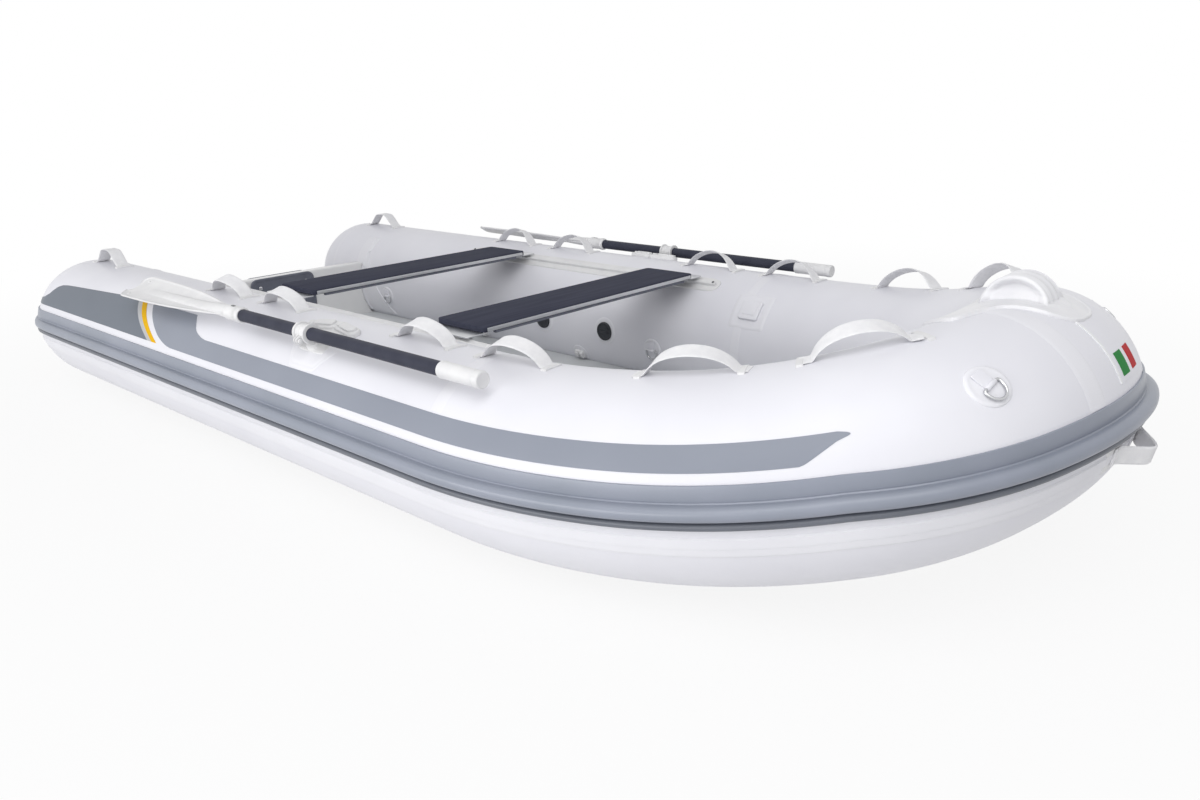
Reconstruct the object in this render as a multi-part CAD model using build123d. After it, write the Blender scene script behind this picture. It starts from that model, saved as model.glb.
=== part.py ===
from build123d import *
import math
import os

# Rigid-hull inflatable tender, millimetres.
# +X points to the bow, +Y to port, +Z up; the origin is amidships on the waterline.

os.makedirs("parts", exist_ok=True)

# --- collar: three air chambers round the boat
tube_diameter = 460
tube_spacing = 1241            # between the two tube centrelines
tube_height = 245              # tube centreline above the waterline, aft
stern_x = -1904                # after end of the domed stern ends
curve_start_x = 623            # where the tubes leave the straight
shoulder_x = 1457              # the tubes' tightest turn starts here
shoulder_y = 396
shoulder_rise = 91
shoulder_heading = 29.7        # degrees inboard
shoulder_pitch = 14.2            # degrees up
nose_x = 1659                  # tube centreline on the centre plane
nose_rise = 163

# --- rubbing strake round the collar; angles are read from straight outboard, upward
strake_top = 18
strake_rib_top = 8
strake_rib_bottom = -1
lip_top = -1.9
strake_bottom = -4.2
strake_wrap = 80               # degrees round the stern domes
band_thickness = 5
rib_bulge = 24
lip_thickness = 10
glue_gap = 0.3                 # between pieces that are glued or seated

# --- rigid hull: half sections from the transom to the stem; a repeated x is a step
hull_sections = [
    # x, then heights from the tubes' centreline of keel, chine and top, then the widest half breadth
    (-1470, -395, -205, -153, 520),
    (500, -395, -205, -153, 520),
    (1000, -370, -195, -153, 500),
    (1184, -350, -172, -153, 480),
    (1184, -350, -172, 5, 480),
    (1300, -335, -150, 5, 400),
    (1400, -315, -127, -10, 300),
    (1500, -290, -113, -55, 190),
    (1560, -267, -107, -77, 110),
    (1610, -195, -103, -85, 46),
    (1632, -140, -99, -87, 16),
]
hull_levels = 6                # flats up the side that follows the tube
seam_clearance = 0.9           # to the straight tubes
hull_clearance = 4             # to the tubes where they curve
sole_thickness = 14
sole_front_x = 1176
keel_guard_width = 40
keel_guard_thickness = 8
keel_guard_start_x = -1400
keel_guard_end_x = 480

# --- transom
transom_x = -1470              # after face
transom_thickness = 44
transom_rise = 100             # its top above the tubes' centreline
motor_plate_width = 290
motor_plate_height = 235
motor_plate_thickness = 9
motor_plate_corner = 30
knee_length = 190
knee_thickness = 6
knee_top_angle = 122
knee_bottom_angle = 214

# --- thwart boards and the rails that carry them
thwart_length = 920
thwart_width = 196
thwart_thickness = 16
thwart_corner = 14
thwart_places = [("aft", -496), ("forward", 322)]
edge_bar_height = 14
edge_bar_width = 12
edge_bar_setback = 30          # from the board's end
end_bracket_thickness = 4
rail_angle = 121               # round the tube, from outboard
rail_start_x = -760
rail_end_x = 500
rail_width = 28
rail_foot_width = 64
rail_foot_thickness = 3
rail_rise = 10.8               # track over its foot

# --- carrying handles: middle along the centreline, span between the feet
handle_rows = {
    "aft": [(-612, 178), (-288, 178), (385, 182)],
    "forward": [(717, 182), (1169, 240), (1502, 190)],
}
handle_angle = 91              # round the tube, from outboard
handle_rise = 53
handle_width = 34
strap_thickness = 5
foot_length = 26
strap_gap = 0.8                # under the flat feet
stern_handle_x = -1530
stern_handle_span = 170
stern_handle_flat = 60
tow_handle_angle = -17
tow_handle_span = 150
tow_handle_rise = 62
tow_handle_width = 42

# --- oars, stowed along the tubes
oarlock_x = 75
oarlock_angle = 58             # round the tube, from outboard
oar_lift = 47                  # shaft centreline above the tube's skin
shaft_diameter = 35
shaft_front = 560              # from the oarlock forward to the grip
grip_length = 140
grip_diameter = 42
shaft_back = 330               # from the oarlock back to the blade's neck
neck_length = 75
neck_diameter = 47
blade_length = 790
blade_tip_width = 165
blade_thickness = 16
patch_length = 210
patch_half_angle = 20
patch_thickness = 3
base_length = 110
base_width = 74
boss_diameter = 46
boss_top = 18                  # above the tube's skin
pin_diameter = 24
pin_depth = 11
ring_length = 44
ring_thickness = 6
running_clearance = 0.05

# --- bow saddle: a moulded arch over the nose on a thin skirt
saddle_x = 1640                # middle of the arch
saddle_span = 180
saddle_rise = 66               # above the tube's top
saddle_half_width = 52
saddle_recess = 26
saddle_rim = 13
skirt_thickness = 4
skirt_parts = [
    # lower angle, upper angle, degrees round the nose to each side
    (78, 128, 27),
    (52, 78, 9),
]

# --- fittings on the tubes, one side: distance along x, angle round the tube
patch_radius = 50
# x, angle round the tube, and the way the ring hangs: degrees from the bow up round the tube
bow_d_ring_place = (1590, 46, -68)
inner_d_ring_places = [(-1240, 188, 90), (-470, 188, 90), (295, 188, 90)]
inner_patch_radius = 38
patch_height = 4
d_ring_width = 46
d_ring_wire = 6
valve_places = [(-240, 180), (75, 180)]
valve_radius = 34
valve_height = 7
cleat_xs = [-630, -75]
cleat_rise = 27                # middle above the sole
cleat_size = (46, 30, 16)
pad_place = (675, 141)
pad_size = (86, 82, 12)


tube_radius = tube_diameter / 2
half_spacing = tube_spacing / 2
hull_top = tube_height + hull_sections[0][3]
sole_top = hull_top + glue_gap + sole_thickness
transom_top = tube_height + transom_rise
up = Vector(0, 0, 1)


# Collar path: stations are planes with x up, y outboard and z along the starboard tube.

def heading_vector(heading, pitch):
    h = math.radians(heading)
    p = math.radians(pitch)
    return Vector(math.cos(h) * math.cos(p), math.sin(h) * math.cos(p), math.sin(p))


def arc_meeting(start, start_dir, end, end_dir):
    """Point where two arcs meet that leave start and reach end along the given directions."""
    chord = end - start
    both = start_dir + end_dir
    spread = 2 * (1 - start_dir.dot(end_dir))
    along = chord.dot(both)
    reach = (math.sqrt(along ** 2 + spread * chord.dot(chord)) - along) / spread
    return (start + end + (start_dir - end_dir) * reach) * 0.5


def bend(plane, target):
    """Axis and angle of the arc that leaves a plane square and ends at target."""
    chord = target - plane.origin
    axis_dir = plane.z_dir.cross(chord).normalized()
    inward = axis_dir.cross(plane.z_dir)
    radius = chord.dot(chord) / (2 * chord.dot(inward))
    angle = 2 * math.degrees(math.atan2(chord.dot(inward), chord.dot(plane.z_dir)))
    return Axis(plane.origin + inward * radius, axis_dir), angle


def turned(plane, axis, angle):
    centre = axis.position
    spin = Axis((0, 0, 0), axis.direction)
    return Plane(
        origin=centre + (plane.origin - centre).rotate(spin, angle),
        x_dir=plane.x_dir.rotate(spin, angle),
        z_dir=plane.z_dir.rotate(spin, angle),
    )


dome_centre = Vector(stern_x + tube_radius, -half_spacing, tube_height)
stern_plane = Plane(origin=dome_centre, x_dir=up, z_dir=(1, 0, 0))
curve_plane = Plane(origin=(curve_start_x, -half_spacing, tube_height), x_dir=up, z_dir=(1, 0, 0))
shoulder_point = Vector(shoulder_x, -shoulder_y, tube_height + shoulder_rise)
shoulder_dir = heading_vector(shoulder_heading, shoulder_pitch)
nose_point = Vector(nose_x, 0, tube_height + nose_rise)
ahead = Vector(1, 0, 0)
across = Vector(0, 1, 0)


def collar_bends():
    """Four tangent arcs from the straight to the nose: (start plane, axis, angle) of each."""
    stops = [
        arc_meeting(curve_plane.origin, ahead, shoulder_point, shoulder_dir),
        shoulder_point,
        arc_meeting(shoulder_point, shoulder_dir, nose_point, across),
        nose_point,
    ]
    plane = curve_plane
    bends = []
    for stop in stops:
        axis, angle = bend(plane, stop)
        bends.append((plane, axis, angle))
        plane = turned(plane, axis, angle)
    return bends


bends = collar_bends()


def collar_station(x):
    """Plane on the starboard tube's centreline at x, for anything that sits on the tube."""
    if x <= curve_start_x:
        return Plane(origin=(x, -half_spacing, tube_height), x_dir=up, z_dir=(1, 0, 0))
    for plane, axis, angle in bends:
        if turned(plane, axis, angle).origin.X >= x:
            break
    low, high = 0, angle
    for _ in range(40):
        middle = (low + high) / 2
        if turned(plane, axis, middle).origin.X < x:
            low = middle
        else:
            high = middle
    return turned(plane, axis, low)


def on_tube(x, angle, lift=0.0):
    """Plane on the tube's skin at x: x along the tube, z out of the skin."""
    station = collar_station(x)
    a = math.radians(angle)
    out = station.y_dir * math.cos(a) + station.x_dir * math.sin(a)
    return Plane(origin=station.origin + out * (tube_radius + lift), x_dir=station.z_dir, z_dir=out)


def ring_point(radius, angle):
    """Point of the tube's section, from its angle above straight outboard."""
    a = math.radians(angle)
    return (radius * math.sin(a), radius * math.cos(a))


def ring_arc(radius, start, end):
    return ThreePointArc(
        ring_point(radius, start),
        ring_point(radius, (start + end) / 2),
        ring_point(radius, end),
    )


def joined(pieces, profile, cuts):
    """Pieces that meet face to face on the given planes, sewn into one solid."""
    faces = []
    for piece in pieces:
        for face in piece.faces():
            middles = [(plane * profile).center() for plane in cuts]
            if all((face.center() - middle).length > 0.01 for middle in middles):
                faces.append(face)
    return Solid(Shell(faces))


def carry(profile, first, last, wrap=0, mirrored=False):
    """Profile carried along the starboard path; 0 is the straight, 1 to 4 are the bends.

    wrap turns it on round the stern dome; mirrored adds the port half at the nose.
    """
    pieces = []
    cuts = []
    if wrap:
        pieces.append(revolve(stern_plane * profile, Axis(dome_centre, (0, 0, -1)), wrap))
        cuts.append(stern_plane)
    if first == 0:
        pieces.append(extrude(stern_plane * profile, curve_start_x - dome_centre.X))
        cuts.append(curve_plane)
    for plane, axis, angle in bends[max(first - 1, 0):last]:
        pieces.append(revolve(plane * profile, axis, angle))
        cuts.append(turned(plane, axis, angle))
    if mirrored:
        pieces += [mirror(piece, Plane.XZ) for piece in pieces]
        cuts += [mirror_plane(plane) for plane in cuts[:-1]]
    else:
        cuts.pop()
    return joined(pieces, profile, cuts) if cuts else pieces[0]


def mirror_plane(plane):
    """The same station on the port side; its profile comes out mirrored as well."""
    o = plane.origin
    x = plane.x_dir
    z = plane.z_dir
    return Plane(origin=(o.X, -o.Y, o.Z), x_dir=(x.X, -x.Y, x.Z), z_dir=(-z.X, z.Y, -z.Z))


def port(shape):
    return mirror(shape, Plane.XZ)


def save(name, *shapes):
    solids = [solid for shape in shapes for solid in shape.solids()]
    shape = solids[0] if len(solids) == 1 else Compound(children=solids)
    export_step(shape, f"parts/{name}.step")


def save_pair(name, *shapes):
    save(f"starboard_{name}", *shapes)
    save(f"port_{name}", *[port(shape) for shape in shapes])


def slab(plane, length, width, height, lift=0.0):
    """Box on a plane: length along x, width along y, its foot lifted along z."""
    return plane * Pos(0, 0, lift + height / 2) * Box(length, width, height)


# Collar

def stern_dome():
    quarter = Plane.XZ * make_face(
        [
            Line((0, 0), (-tube_radius, 0)),
            RadiusArc((-tube_radius, 0), (0, tube_radius), tube_radius),
            Line((0, tube_radius), (0, 0)),
        ]
    )
    return Pos(*dome_centre) * revolve(quarter, Axis.X, 360)


def ring_sector(inner, outer, low, high):
    """Section of a skin round the tube between two radii and two angles."""
    return make_face(
        [
            ring_arc(inner, low, high),
            Line(ring_point(inner, high), ring_point(outer, high)),
            ring_arc(outer, high, low),
            Line(ring_point(outer, low), ring_point(inner, low)),
        ]
    )


def strake_profile():
    inner = tube_radius + glue_gap
    outer = inner + band_thickness
    crest = ring_point(outer + rib_bulge, (strake_rib_top + strake_rib_bottom) / 2)
    return make_face(
        [
            ring_arc(inner, strake_rib_bottom, strake_top),
            Line(ring_point(inner, strake_top), ring_point(outer, strake_top)),
            ring_arc(outer, strake_top, strake_rib_top),
            ThreePointArc(ring_point(outer, strake_rib_top), crest, ring_point(outer, strake_rib_bottom)),
            Line(ring_point(outer, strake_rib_bottom), ring_point(inner, strake_rib_bottom)),
        ]
    )


def build_collar():
    inner = tube_radius + glue_gap
    lip = ring_sector(inner, inner + lip_thickness, strake_bottom, lip_top)
    save_pair("tube", carry(Circle(tube_radius), 0, 3))
    save("bow_tube", carry(Circle(tube_radius), 4, 4, mirrored=True))
    save_pair("stern_dome", stern_dome())
    for name, profile in (("rubbing_strake", strake_profile()), ("strake_lip", lip)):
        save_pair(name, carry(profile, 0, 3, wrap=strake_wrap))
        save(f"bow_{name}", carry(profile, 4, 4, mirrored=True))


# Rigid hull

path_points = [curve_plane.origin] + [
    turned(plane, axis, angle * step / 12).origin for plane, axis, angle in bends for step in range(1, 13)
]


def clear_half_breadth(x, z, clearance):
    """Largest half breadth at x and z that stays clear of the starboard tube."""
    reach = tube_radius + clearance
    centres = [Vector(min(x, curve_start_x), -half_spacing, tube_height)] + path_points
    low, high = 0.0, half_spacing + tube_radius
    steps = 200
    for step in range(steps + 1):
        y = high * step / steps
        if min((Vector(x, -y, z) - centre).length for centre in centres) < reach:
            break
        low = y
    high = min(high, low + high / steps)
    for _ in range(24):
        middle = (low + high) / 2
        if min((Vector(x, -middle, z) - centre).length for centre in centres) < reach:
            high = middle
        else:
            low = middle
    return low


def section(x, points):
    """Closed face at x from half a section's (y, z) points, keel first."""
    outline = [(x, y, z) for y, z in points] + [(x, -y, z) for y, z in reversed(points) if y > 0]
    return Face(Wire.make_polygon([Vector(*p) for p in outline], close=True))


def hull_section(x, keel, chine, top, widest):
    clearance = seam_clearance if x <= curve_start_x else hull_clearance
    half = [(0, tube_height + keel)]
    for step in range(hull_levels + 1):
        z = tube_height + chine + (top - chine) * step / hull_levels
        half.append((min(clear_half_breadth(x, z, clearance), widest), z))
    return section(x, half)


def hull_solid():
    """Ruled from section to section, in one run on each side of a step."""
    stations = [row[0] for row in hull_sections]
    step = next(i for i in range(1, len(stations)) if stations[i] == stations[i - 1])
    aft = loft([hull_section(*row) for row in hull_sections[:step]], ruled=True)
    return aft + loft([hull_section(*row) for row in hull_sections[step:]], ruled=True)


def sole_solid():
    """Non-skid sole laid on the moulded hull between the tubes."""
    low = hull_top + glue_gap
    stations = [transom_x + transom_thickness + 1, curve_start_x, 900, sole_front_x]
    faces = []
    for x in stations:
        clearance = seam_clearance if x <= curve_start_x else hull_clearance
        y = clear_half_breadth(x, low, clearance)
        top = clear_half_breadth(x, low + sole_thickness, clearance)
        faces.append(section(x, [(0, low), (y, low), (top, low + sole_thickness), (0, low + sole_thickness)]))
    return loft(faces, ruled=True)


def keel_guard():
    """Rubbing bar along the level part of the keel."""
    length = keel_guard_end_x - keel_guard_start_x
    foot = tube_height + hull_sections[0][1] - glue_gap
    bar = Plane.YZ * Pos(0, foot) * make_face(
        Polyline(
            (-keel_guard_width / 2, -keel_guard_thickness),
            (keel_guard_width / 2, -keel_guard_thickness),
            (keel_guard_width / 2 + 2, 0),
            (-keel_guard_width / 2 - 2, 0),
            close=True,
        )
    )
    return Pos(keel_guard_start_x, 0, 0) * extrude(bar, length)


def transom():
    """Board between the tubes, its sides cupped round them."""
    foot = hull_top + glue_gap
    reach = tube_radius + glue_gap + knee_thickness + glue_gap

    def edge(z):
        return half_spacing - math.sqrt(reach ** 2 - (z - tube_height) ** 2)

    waist = (half_spacing - reach, tube_height)
    board = Plane.YZ * make_face(
        [
            Line((-edge(foot), foot), (edge(foot), foot)),
            ThreePointArc((edge(foot), foot), waist, (edge(transom_top), transom_top)),
            Line((edge(transom_top), transom_top), (-edge(transom_top), transom_top)),
            ThreePointArc((-edge(transom_top), transom_top), (-waist[0], waist[1]), (-edge(foot), foot)),
        ]
    )
    return Pos(transom_x, 0, 0) * extrude(board, transom_thickness)


def motor_plate(x):
    """Pad for the engine clamps, its lower corners rounded."""
    plate = Plane.YZ * fillet(
        Rectangle(motor_plate_width, motor_plate_height).vertices().group_by(Axis.Y)[0],
        motor_plate_corner,
    )
    return Pos(x, 0, transom_top - motor_plate_height / 2) * extrude(plate, motor_plate_thickness)


def transom_knee():
    """Glued collar strip that holds the transom's edge to the tube."""
    inner = tube_radius + glue_gap
    strip = ring_sector(inner, inner + knee_thickness, knee_bottom_angle, knee_top_angle)
    start = Plane(origin=(transom_x, -half_spacing, tube_height), x_dir=up, z_dir=(1, 0, 0))
    return extrude(start * strip, knee_length)


def build_hull():
    save("hull", hull_solid())
    save("sole", sole_solid())
    save("keel_guard", keel_guard())
    save("transom", transom())
    save("outer_motor_plate", motor_plate(transom_x - glue_gap - motor_plate_thickness))
    save("inner_motor_pad", motor_plate(transom_x + transom_thickness + glue_gap))
    save_pair("transom_knee", transom_knee())


# Thwart boards and rails

rail_crown = tube_radius + glue_gap + rail_foot_thickness
half_rail = math.degrees(rail_width / 2 / rail_crown)
rail_peak = tube_height + (rail_crown + rail_rise) * math.sin(math.radians(rail_angle - half_rail))
bracket_top = rail_peak + glue_gap + end_bracket_thickness
board_foot = bracket_top + glue_gap
rail_middle_y = half_spacing + (rail_crown + rail_rise) * math.cos(math.radians(rail_angle))


def rail():
    """Extruded track on a glued foot, along the inner top of the tube."""
    start = Plane(origin=(rail_start_x, -half_spacing, tube_height), x_dir=up, z_dir=(1, 0, 0))
    half_foot = math.degrees(rail_foot_width / 2 / rail_crown)
    foot = ring_sector(tube_radius + glue_gap, rail_crown, rail_angle - half_foot, rail_angle + half_foot)
    track = ring_sector(rail_crown - 1, rail_crown + rail_rise, rail_angle - half_rail, rail_angle + half_rail)
    return extrude(start * (foot + track), rail_end_x - rail_start_x)


def thwart_board(x):
    blank = fillet(Rectangle(thwart_width, thwart_length).vertices(), thwart_corner)
    return Pos(x, 0, board_foot) * extrude(blank, thwart_thickness)


def thwart_frame(x):
    """Edge bars under the board, and an end bracket that rests over each rail."""
    bar_length = thwart_length - 2 * thwart_corner - 2 * edge_bar_setback
    bar_y = thwart_width / 2 - edge_bar_width / 2 - 4
    frame = Pos(x, 0, bracket_top - end_bracket_thickness / 2) * Box(
        2 * bar_y, 2 * rail_middle_y + rail_width, end_bracket_thickness
    )
    for side in (-1, 1):
        frame += Pos(x + side * bar_y, 0, bracket_top - edge_bar_height / 2) * Box(
            edge_bar_width, bar_length, edge_bar_height
        )
    return frame


def build_thwarts():
    save_pair("seat_rail", rail())
    for name, x in thwart_places:
        save(f"{name}_thwart", thwart_board(x))
        save(f"{name}_thwart_frame", thwart_frame(x))


# Handles: a webbing arch between two flat feet

def chord_plane(x, angle, span):
    """Plane on the skin between two feet: x from the after foot to the fore one, z outward."""
    middle = collar_station(x)
    back = on_tube(x - span / 2 * middle.z_dir.X, angle)
    front = on_tube(x + span / 2 * middle.z_dir.X, angle)
    return Plane(
        origin=(back.origin + front.origin) * 0.5 + (back.z_dir + front.z_dir).normalized() * strap_gap,
        x_dir=front.origin - back.origin,
        z_dir=back.z_dir + front.z_dir,
    )


def strap_handle(plane, span, rise, width, flat=0.0):
    """Arched strap; flat is the length of a straight top, 0 for a round arch."""
    t = strap_thickness
    end = span / 2
    heel = 1.5 * t
    if flat:
        over = [Line((-end, t), (-flat / 2, rise)), Line((-flat / 2, rise), (flat / 2, rise)),
                Line((flat / 2, rise), (end, t))]
        under = [Line((end - heel, 0), (flat / 2 - t / 2, rise - t)),
                 Line((flat / 2 - t / 2, rise - t), (t / 2 - flat / 2, rise - t)),
                 Line((t / 2 - flat / 2, rise - t), (heel - end, 0))]
    else:
        over = [ThreePointArc((-end, t), (0, rise), (end, t))]
        under = [ThreePointArc((end - heel, 0), (0, rise - t), (heel - end, 0))]
    feet_back = Polyline((heel - end, 0), (-end - foot_length, 0), (-end - foot_length, t), (-end, t))
    feet_front = Polyline((end, t), (end + foot_length, t), (end + foot_length, 0), (end - heel, 0))
    side = make_face(Wire([*feet_back.edges(), *over, *feet_front.edges(), *under]).edges())
    standing = Plane(origin=plane.origin, x_dir=plane.x_dir, z_dir=plane.x_dir.cross(plane.z_dir))
    return extrude(standing * side, width / 2, both=True)


def stem_chord():
    """Plane across the nose through the skin under the tow handle's two feet."""
    a = math.radians(tow_handle_angle)
    start, axis, angle = bends[-1]
    low, high = 0, 1
    for _ in range(30):
        middle = (low + high) / 2
        station = turned(start, axis, angle * middle)
        out = station.y_dir * math.cos(a) + station.x_dir * math.sin(a)
        foot = station.origin + out * tube_radius
        if foot.Y < -tow_handle_span / 2:
            low = middle
        else:
            high = middle
    outward = Vector(out.X, 0, out.Z).normalized()
    origin = Vector(foot.X, 0, foot.Z) + outward * strap_gap
    return Plane(origin=origin, x_dir=across, z_dir=outward)


def build_handles():
    for row, places in handle_rows.items():
        save_pair(
            f"handles_{row}",
            *[
                strap_handle(chord_plane(x, handle_angle, span), span, handle_rise, handle_width)
                for x, span in places
            ],
        )
    stern = strap_handle(
        chord_plane(stern_handle_x, handle_angle, stern_handle_span),
        stern_handle_span, handle_rise, handle_width, flat=stern_handle_flat,
    )
    save_pair("stern_handle", stern)
    save("tow_handle", strap_handle(stem_chord(), tow_handle_span, tow_handle_rise, tow_handle_width))


# Oars in their oarlocks

def oar_plane(side_lift=0.0):
    """On the skin at the oarlock: x forward, z out along the pin."""
    return on_tube(oarlock_x, oarlock_angle, side_lift)


def rod(start, length, diameter):
    """Round bar along the oar, from a distance forward of the pin."""
    plane = oar_plane(oar_lift)
    centre = plane.origin + plane.x_dir * start
    return Solid.make_cylinder(diameter / 2, length, Plane(origin=centre, z_dir=plane.x_dir))


def oar_blade():
    """Cupped spoon: a straight taper to a wide tip, thin at the edges."""
    start = -shaft_back - neck_length
    half_neck = neck_diameter / 2 - 3
    half_tip = blade_tip_width / 2
    outline = make_face(
        [
            *Polyline(
                (start, half_neck),
                (start, -half_neck),
                (start - 0.38 * blade_length, -half_tip * 0.82),
                (start - blade_length + 30, -half_tip),
            ).edges(),
            ThreePointArc(
                (start - blade_length + 30, -half_tip),
                (start - blade_length, 0),
                (start - blade_length + 30, half_tip),
            ),
            *Polyline(
                (start - blade_length + 30, half_tip),
                (start - 0.38 * blade_length, half_tip * 0.82),
                (start, half_neck),
            ).edges(),
        ]
    )
    plane = oar_plane(oar_lift - blade_thickness / 2)
    return extrude(plane * outline, blade_thickness)


def oar_shaft():
    return rod(-shaft_back, shaft_back + shaft_front, shaft_diameter)


def oar_neck():
    return rod(-shaft_back - neck_length, neck_length - glue_gap, neck_diameter)


def oar_grip():
    blank = rod(shaft_front + glue_gap, grip_length, grip_diameter)
    return fillet(blank.edges().filter_by(GeomType.CIRCLE), 5)


def oarlock_base():
    """Moulded block with the pin's boss, its foot cupped round the patch."""
    skin = tube_radius + patch_thickness + 2 * glue_gap
    plane = oar_plane()
    foot = fillet(Rectangle(base_length, base_width).vertices(), 14)
    block = plane * Pos(0, 0, -6) * extrude(foot, 14)
    block += plane * Pos(0, 0, boss_top / 2) * Cylinder(boss_diameter / 2, boss_top)
    tube = Plane(origin=plane.origin - plane.z_dir * tube_radius, z_dir=plane.x_dir)
    block -= tube * Cylinder(skin, base_length * 2)
    bore = plane * Pos(0, 0, boss_top - pin_depth / 2) * Cylinder(
        pin_diameter / 2 + running_clearance, pin_depth
    )
    return block - bore


def oarlock_patch():
    inner = tube_radius + glue_gap
    skin = ring_sector(
        inner, inner + patch_thickness, oarlock_angle - patch_half_angle, oarlock_angle + patch_half_angle
    )
    start = Plane(
        origin=(oarlock_x - patch_length / 2, -half_spacing, tube_height), x_dir=up, z_dir=(1, 0, 0)
    )
    return extrude(start * skin, patch_length)


def oarlock():
    """Pin, neck and split ring that turn with the oar."""
    plane = oar_plane()
    foot = boss_top - pin_depth + 0.5
    pin = plane * Pos(0, 0, (foot + oar_lift) / 2) * Cylinder(pin_diameter / 2, oar_lift - foot)
    outer = shaft_diameter + 2 * ring_thickness
    ring = rod(-ring_length / 2, ring_length, outer)
    bore = rod(-ring_length, 2 * ring_length, shaft_diameter + 2 * running_clearance)
    return (pin + ring) - bore


def build_oars():
    save_pair("oarlock_patch", oarlock_patch())
    save_pair("oarlock_base", oarlock_base())
    save_pair("oarlock", oarlock())
    save_pair("oar_shaft", oar_shaft())
    save_pair("oar_neck", oar_neck())
    save_pair("oar_blade", oar_blade())
    save_pair("oar_grip", oar_grip())


# Bow saddle: skirt round the nose and the moulded arch on it

def saddle_skirt():
    inner = tube_radius + glue_gap
    plane, axis, angle = bends[-1]
    nose = turned(plane, axis, angle)
    parts = []
    for low, high, spread in skirt_parts:
        profile = nose * ring_sector(inner, inner + skirt_thickness, low, high)
        half = revolve(profile, axis, -spread)
        parts.append(joined([half, port(half)], ring_sector(inner, inner + skirt_thickness, low, high), [nose]))
    return parts


def saddle_arch():
    """Half wheel across the nose tube, dished on both sides between its rims."""
    nose = nose_point
    seat = tube_radius + skirt_thickness + 3 * glue_gap
    crown = nose.Z + tube_radius + saddle_rise
    foot = nose.Z + tube_radius - 40
    outer = Plane.XZ * make_face(
        [
            ThreePointArc(
                (saddle_x - saddle_span / 2, foot), (saddle_x, crown), (saddle_x + saddle_span / 2, foot)
            ),
            Line((saddle_x + saddle_span / 2, foot), (saddle_x - saddle_span / 2, foot)),
        ]
    )
    inner = Plane.XZ * make_face(
        [
            ThreePointArc(
                (saddle_x - saddle_span / 2 + saddle_rim, foot),
                (saddle_x, crown - saddle_rim),
                (saddle_x + saddle_span / 2 - saddle_rim, foot),
            ),
            Line(
                (saddle_x + saddle_span / 2 - saddle_rim, foot),
                (saddle_x - saddle_span / 2 + saddle_rim, foot),
            ),
        ]
    )
    wheel = extrude(outer, saddle_half_width, both=True)
    depth = saddle_recess
    for side in (-1, 1):
        wheel -= Pos(0, side * (saddle_half_width - depth / 2), 0) * extrude(inner, depth / 2, both=True)
    tube = Plane(origin=nose, z_dir=(0, 1, 0)) * Cylinder(seat, 6 * saddle_half_width)
    return wheel - tube


def build_saddle():
    save("bow_saddle_skirt", *saddle_skirt())
    save("bow_saddle_arch", saddle_arch())


# Fittings on the tubes

def tube_form(x, radius):
    """Solid round the tube's path near x, of the given radius."""
    if x <= curve_start_x:
        return collar_station(x) * Cylinder(radius, tube_diameter)
    for plane, axis, angle in bends:
        if turned(plane, axis, angle).origin.X >= x:
            break
    spoke = plane.origin - axis.position
    return Plane(origin=axis.position, x_dir=spoke, z_dir=axis.direction) * Torus(spoke.length, radius)


def round_patch(place, radius, height):
    """Disc cupped to the tube's skin."""
    disc = on_tube(*place) * Pos(0, 0, height / 2 - 4) * Cylinder(radius, height + 8)
    return disc - tube_form(place[0], tube_radius + glue_gap)


def d_ring(place, height):
    """Ring of bent wire lying on its patch, its straight bar through the tab."""
    x, angle, hang = place
    plane = on_tube(x, angle, height) * Rot(0, 0, hang)
    w = d_ring_wire
    half = d_ring_width / 2
    outer = make_face(
        [Line((0, half), (0, -half)), ThreePointArc((0, -half), (half * 1.5, 0), (0, half))]
    )
    hole = make_face(
        [
            Line((w, half - 1.6 * w), (w, 1.6 * w - half)),
            ThreePointArc((w, 1.6 * w - half), (half * 1.5 - w, 0), (w, half - 1.6 * w)),
        ]
    )
    return extrude(plane * (outer - hole), w)


def d_ring_tab(place, height):
    """Webbing loop over the ring's bar."""
    x, angle, hang = place
    plane = on_tube(x, angle, height) * Rot(0, 0, hang)
    w = d_ring_wire
    loop = plane * Pos(-4, 0, (w + 4) / 2) * Box(34, d_ring_width / 2, w + 4)
    slot = plane * Pos(w / 2, 0, w / 2) * Box(w + 1, d_ring_width, w + 1)
    mouth = plane * Pos(w / 2 + 8, 0, w / 2) * Box(16, d_ring_width, w + 1)
    return loop - slot - mouth


def cleat(x):
    depth = tube_height - sole_top - cleat_rise
    angle = 180 + math.degrees(math.asin(depth / tube_radius))
    length, width, height = cleat_size
    block = slab(on_tube(x, angle), length, width, height + 3, -3)
    return block - tube_form(x, tube_radius + glue_gap)


def square_pad():
    length, width, height = pad_size
    block = slab(on_tube(*pad_place), length, width, height + 8, -8)
    return block - tube_form(pad_place[0], tube_radius + glue_gap)


def ringed_patch(place, radius, height):
    """Round patch with its webbing tab."""
    return round_patch(place[:2], radius, height) + d_ring_tab(place, height - 0.2)


def build_fittings():
    patches = [(bow_d_ring_place, patch_radius)] + [(p, inner_patch_radius) for p in inner_d_ring_places]
    save_pair("ring_patches", *[ringed_patch(place, radius, patch_height) for place, radius in patches])
    save_pair("d_rings", *[d_ring(place, patch_height + glue_gap) for place, radius in patches])
    save_pair("valves", *[round_patch(place, valve_radius, valve_height) for place in valve_places])
    save_pair("cleats", *[cleat(x) for x in cleat_xs])
    save_pair("square_pad", square_pad())


build_collar()
build_hull()
build_thwarts()
build_handles()
build_oars()
build_saddle()
build_fittings()
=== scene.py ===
import math
import bpy
import numpy as np
from mathutils import Matrix, Vector


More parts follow.
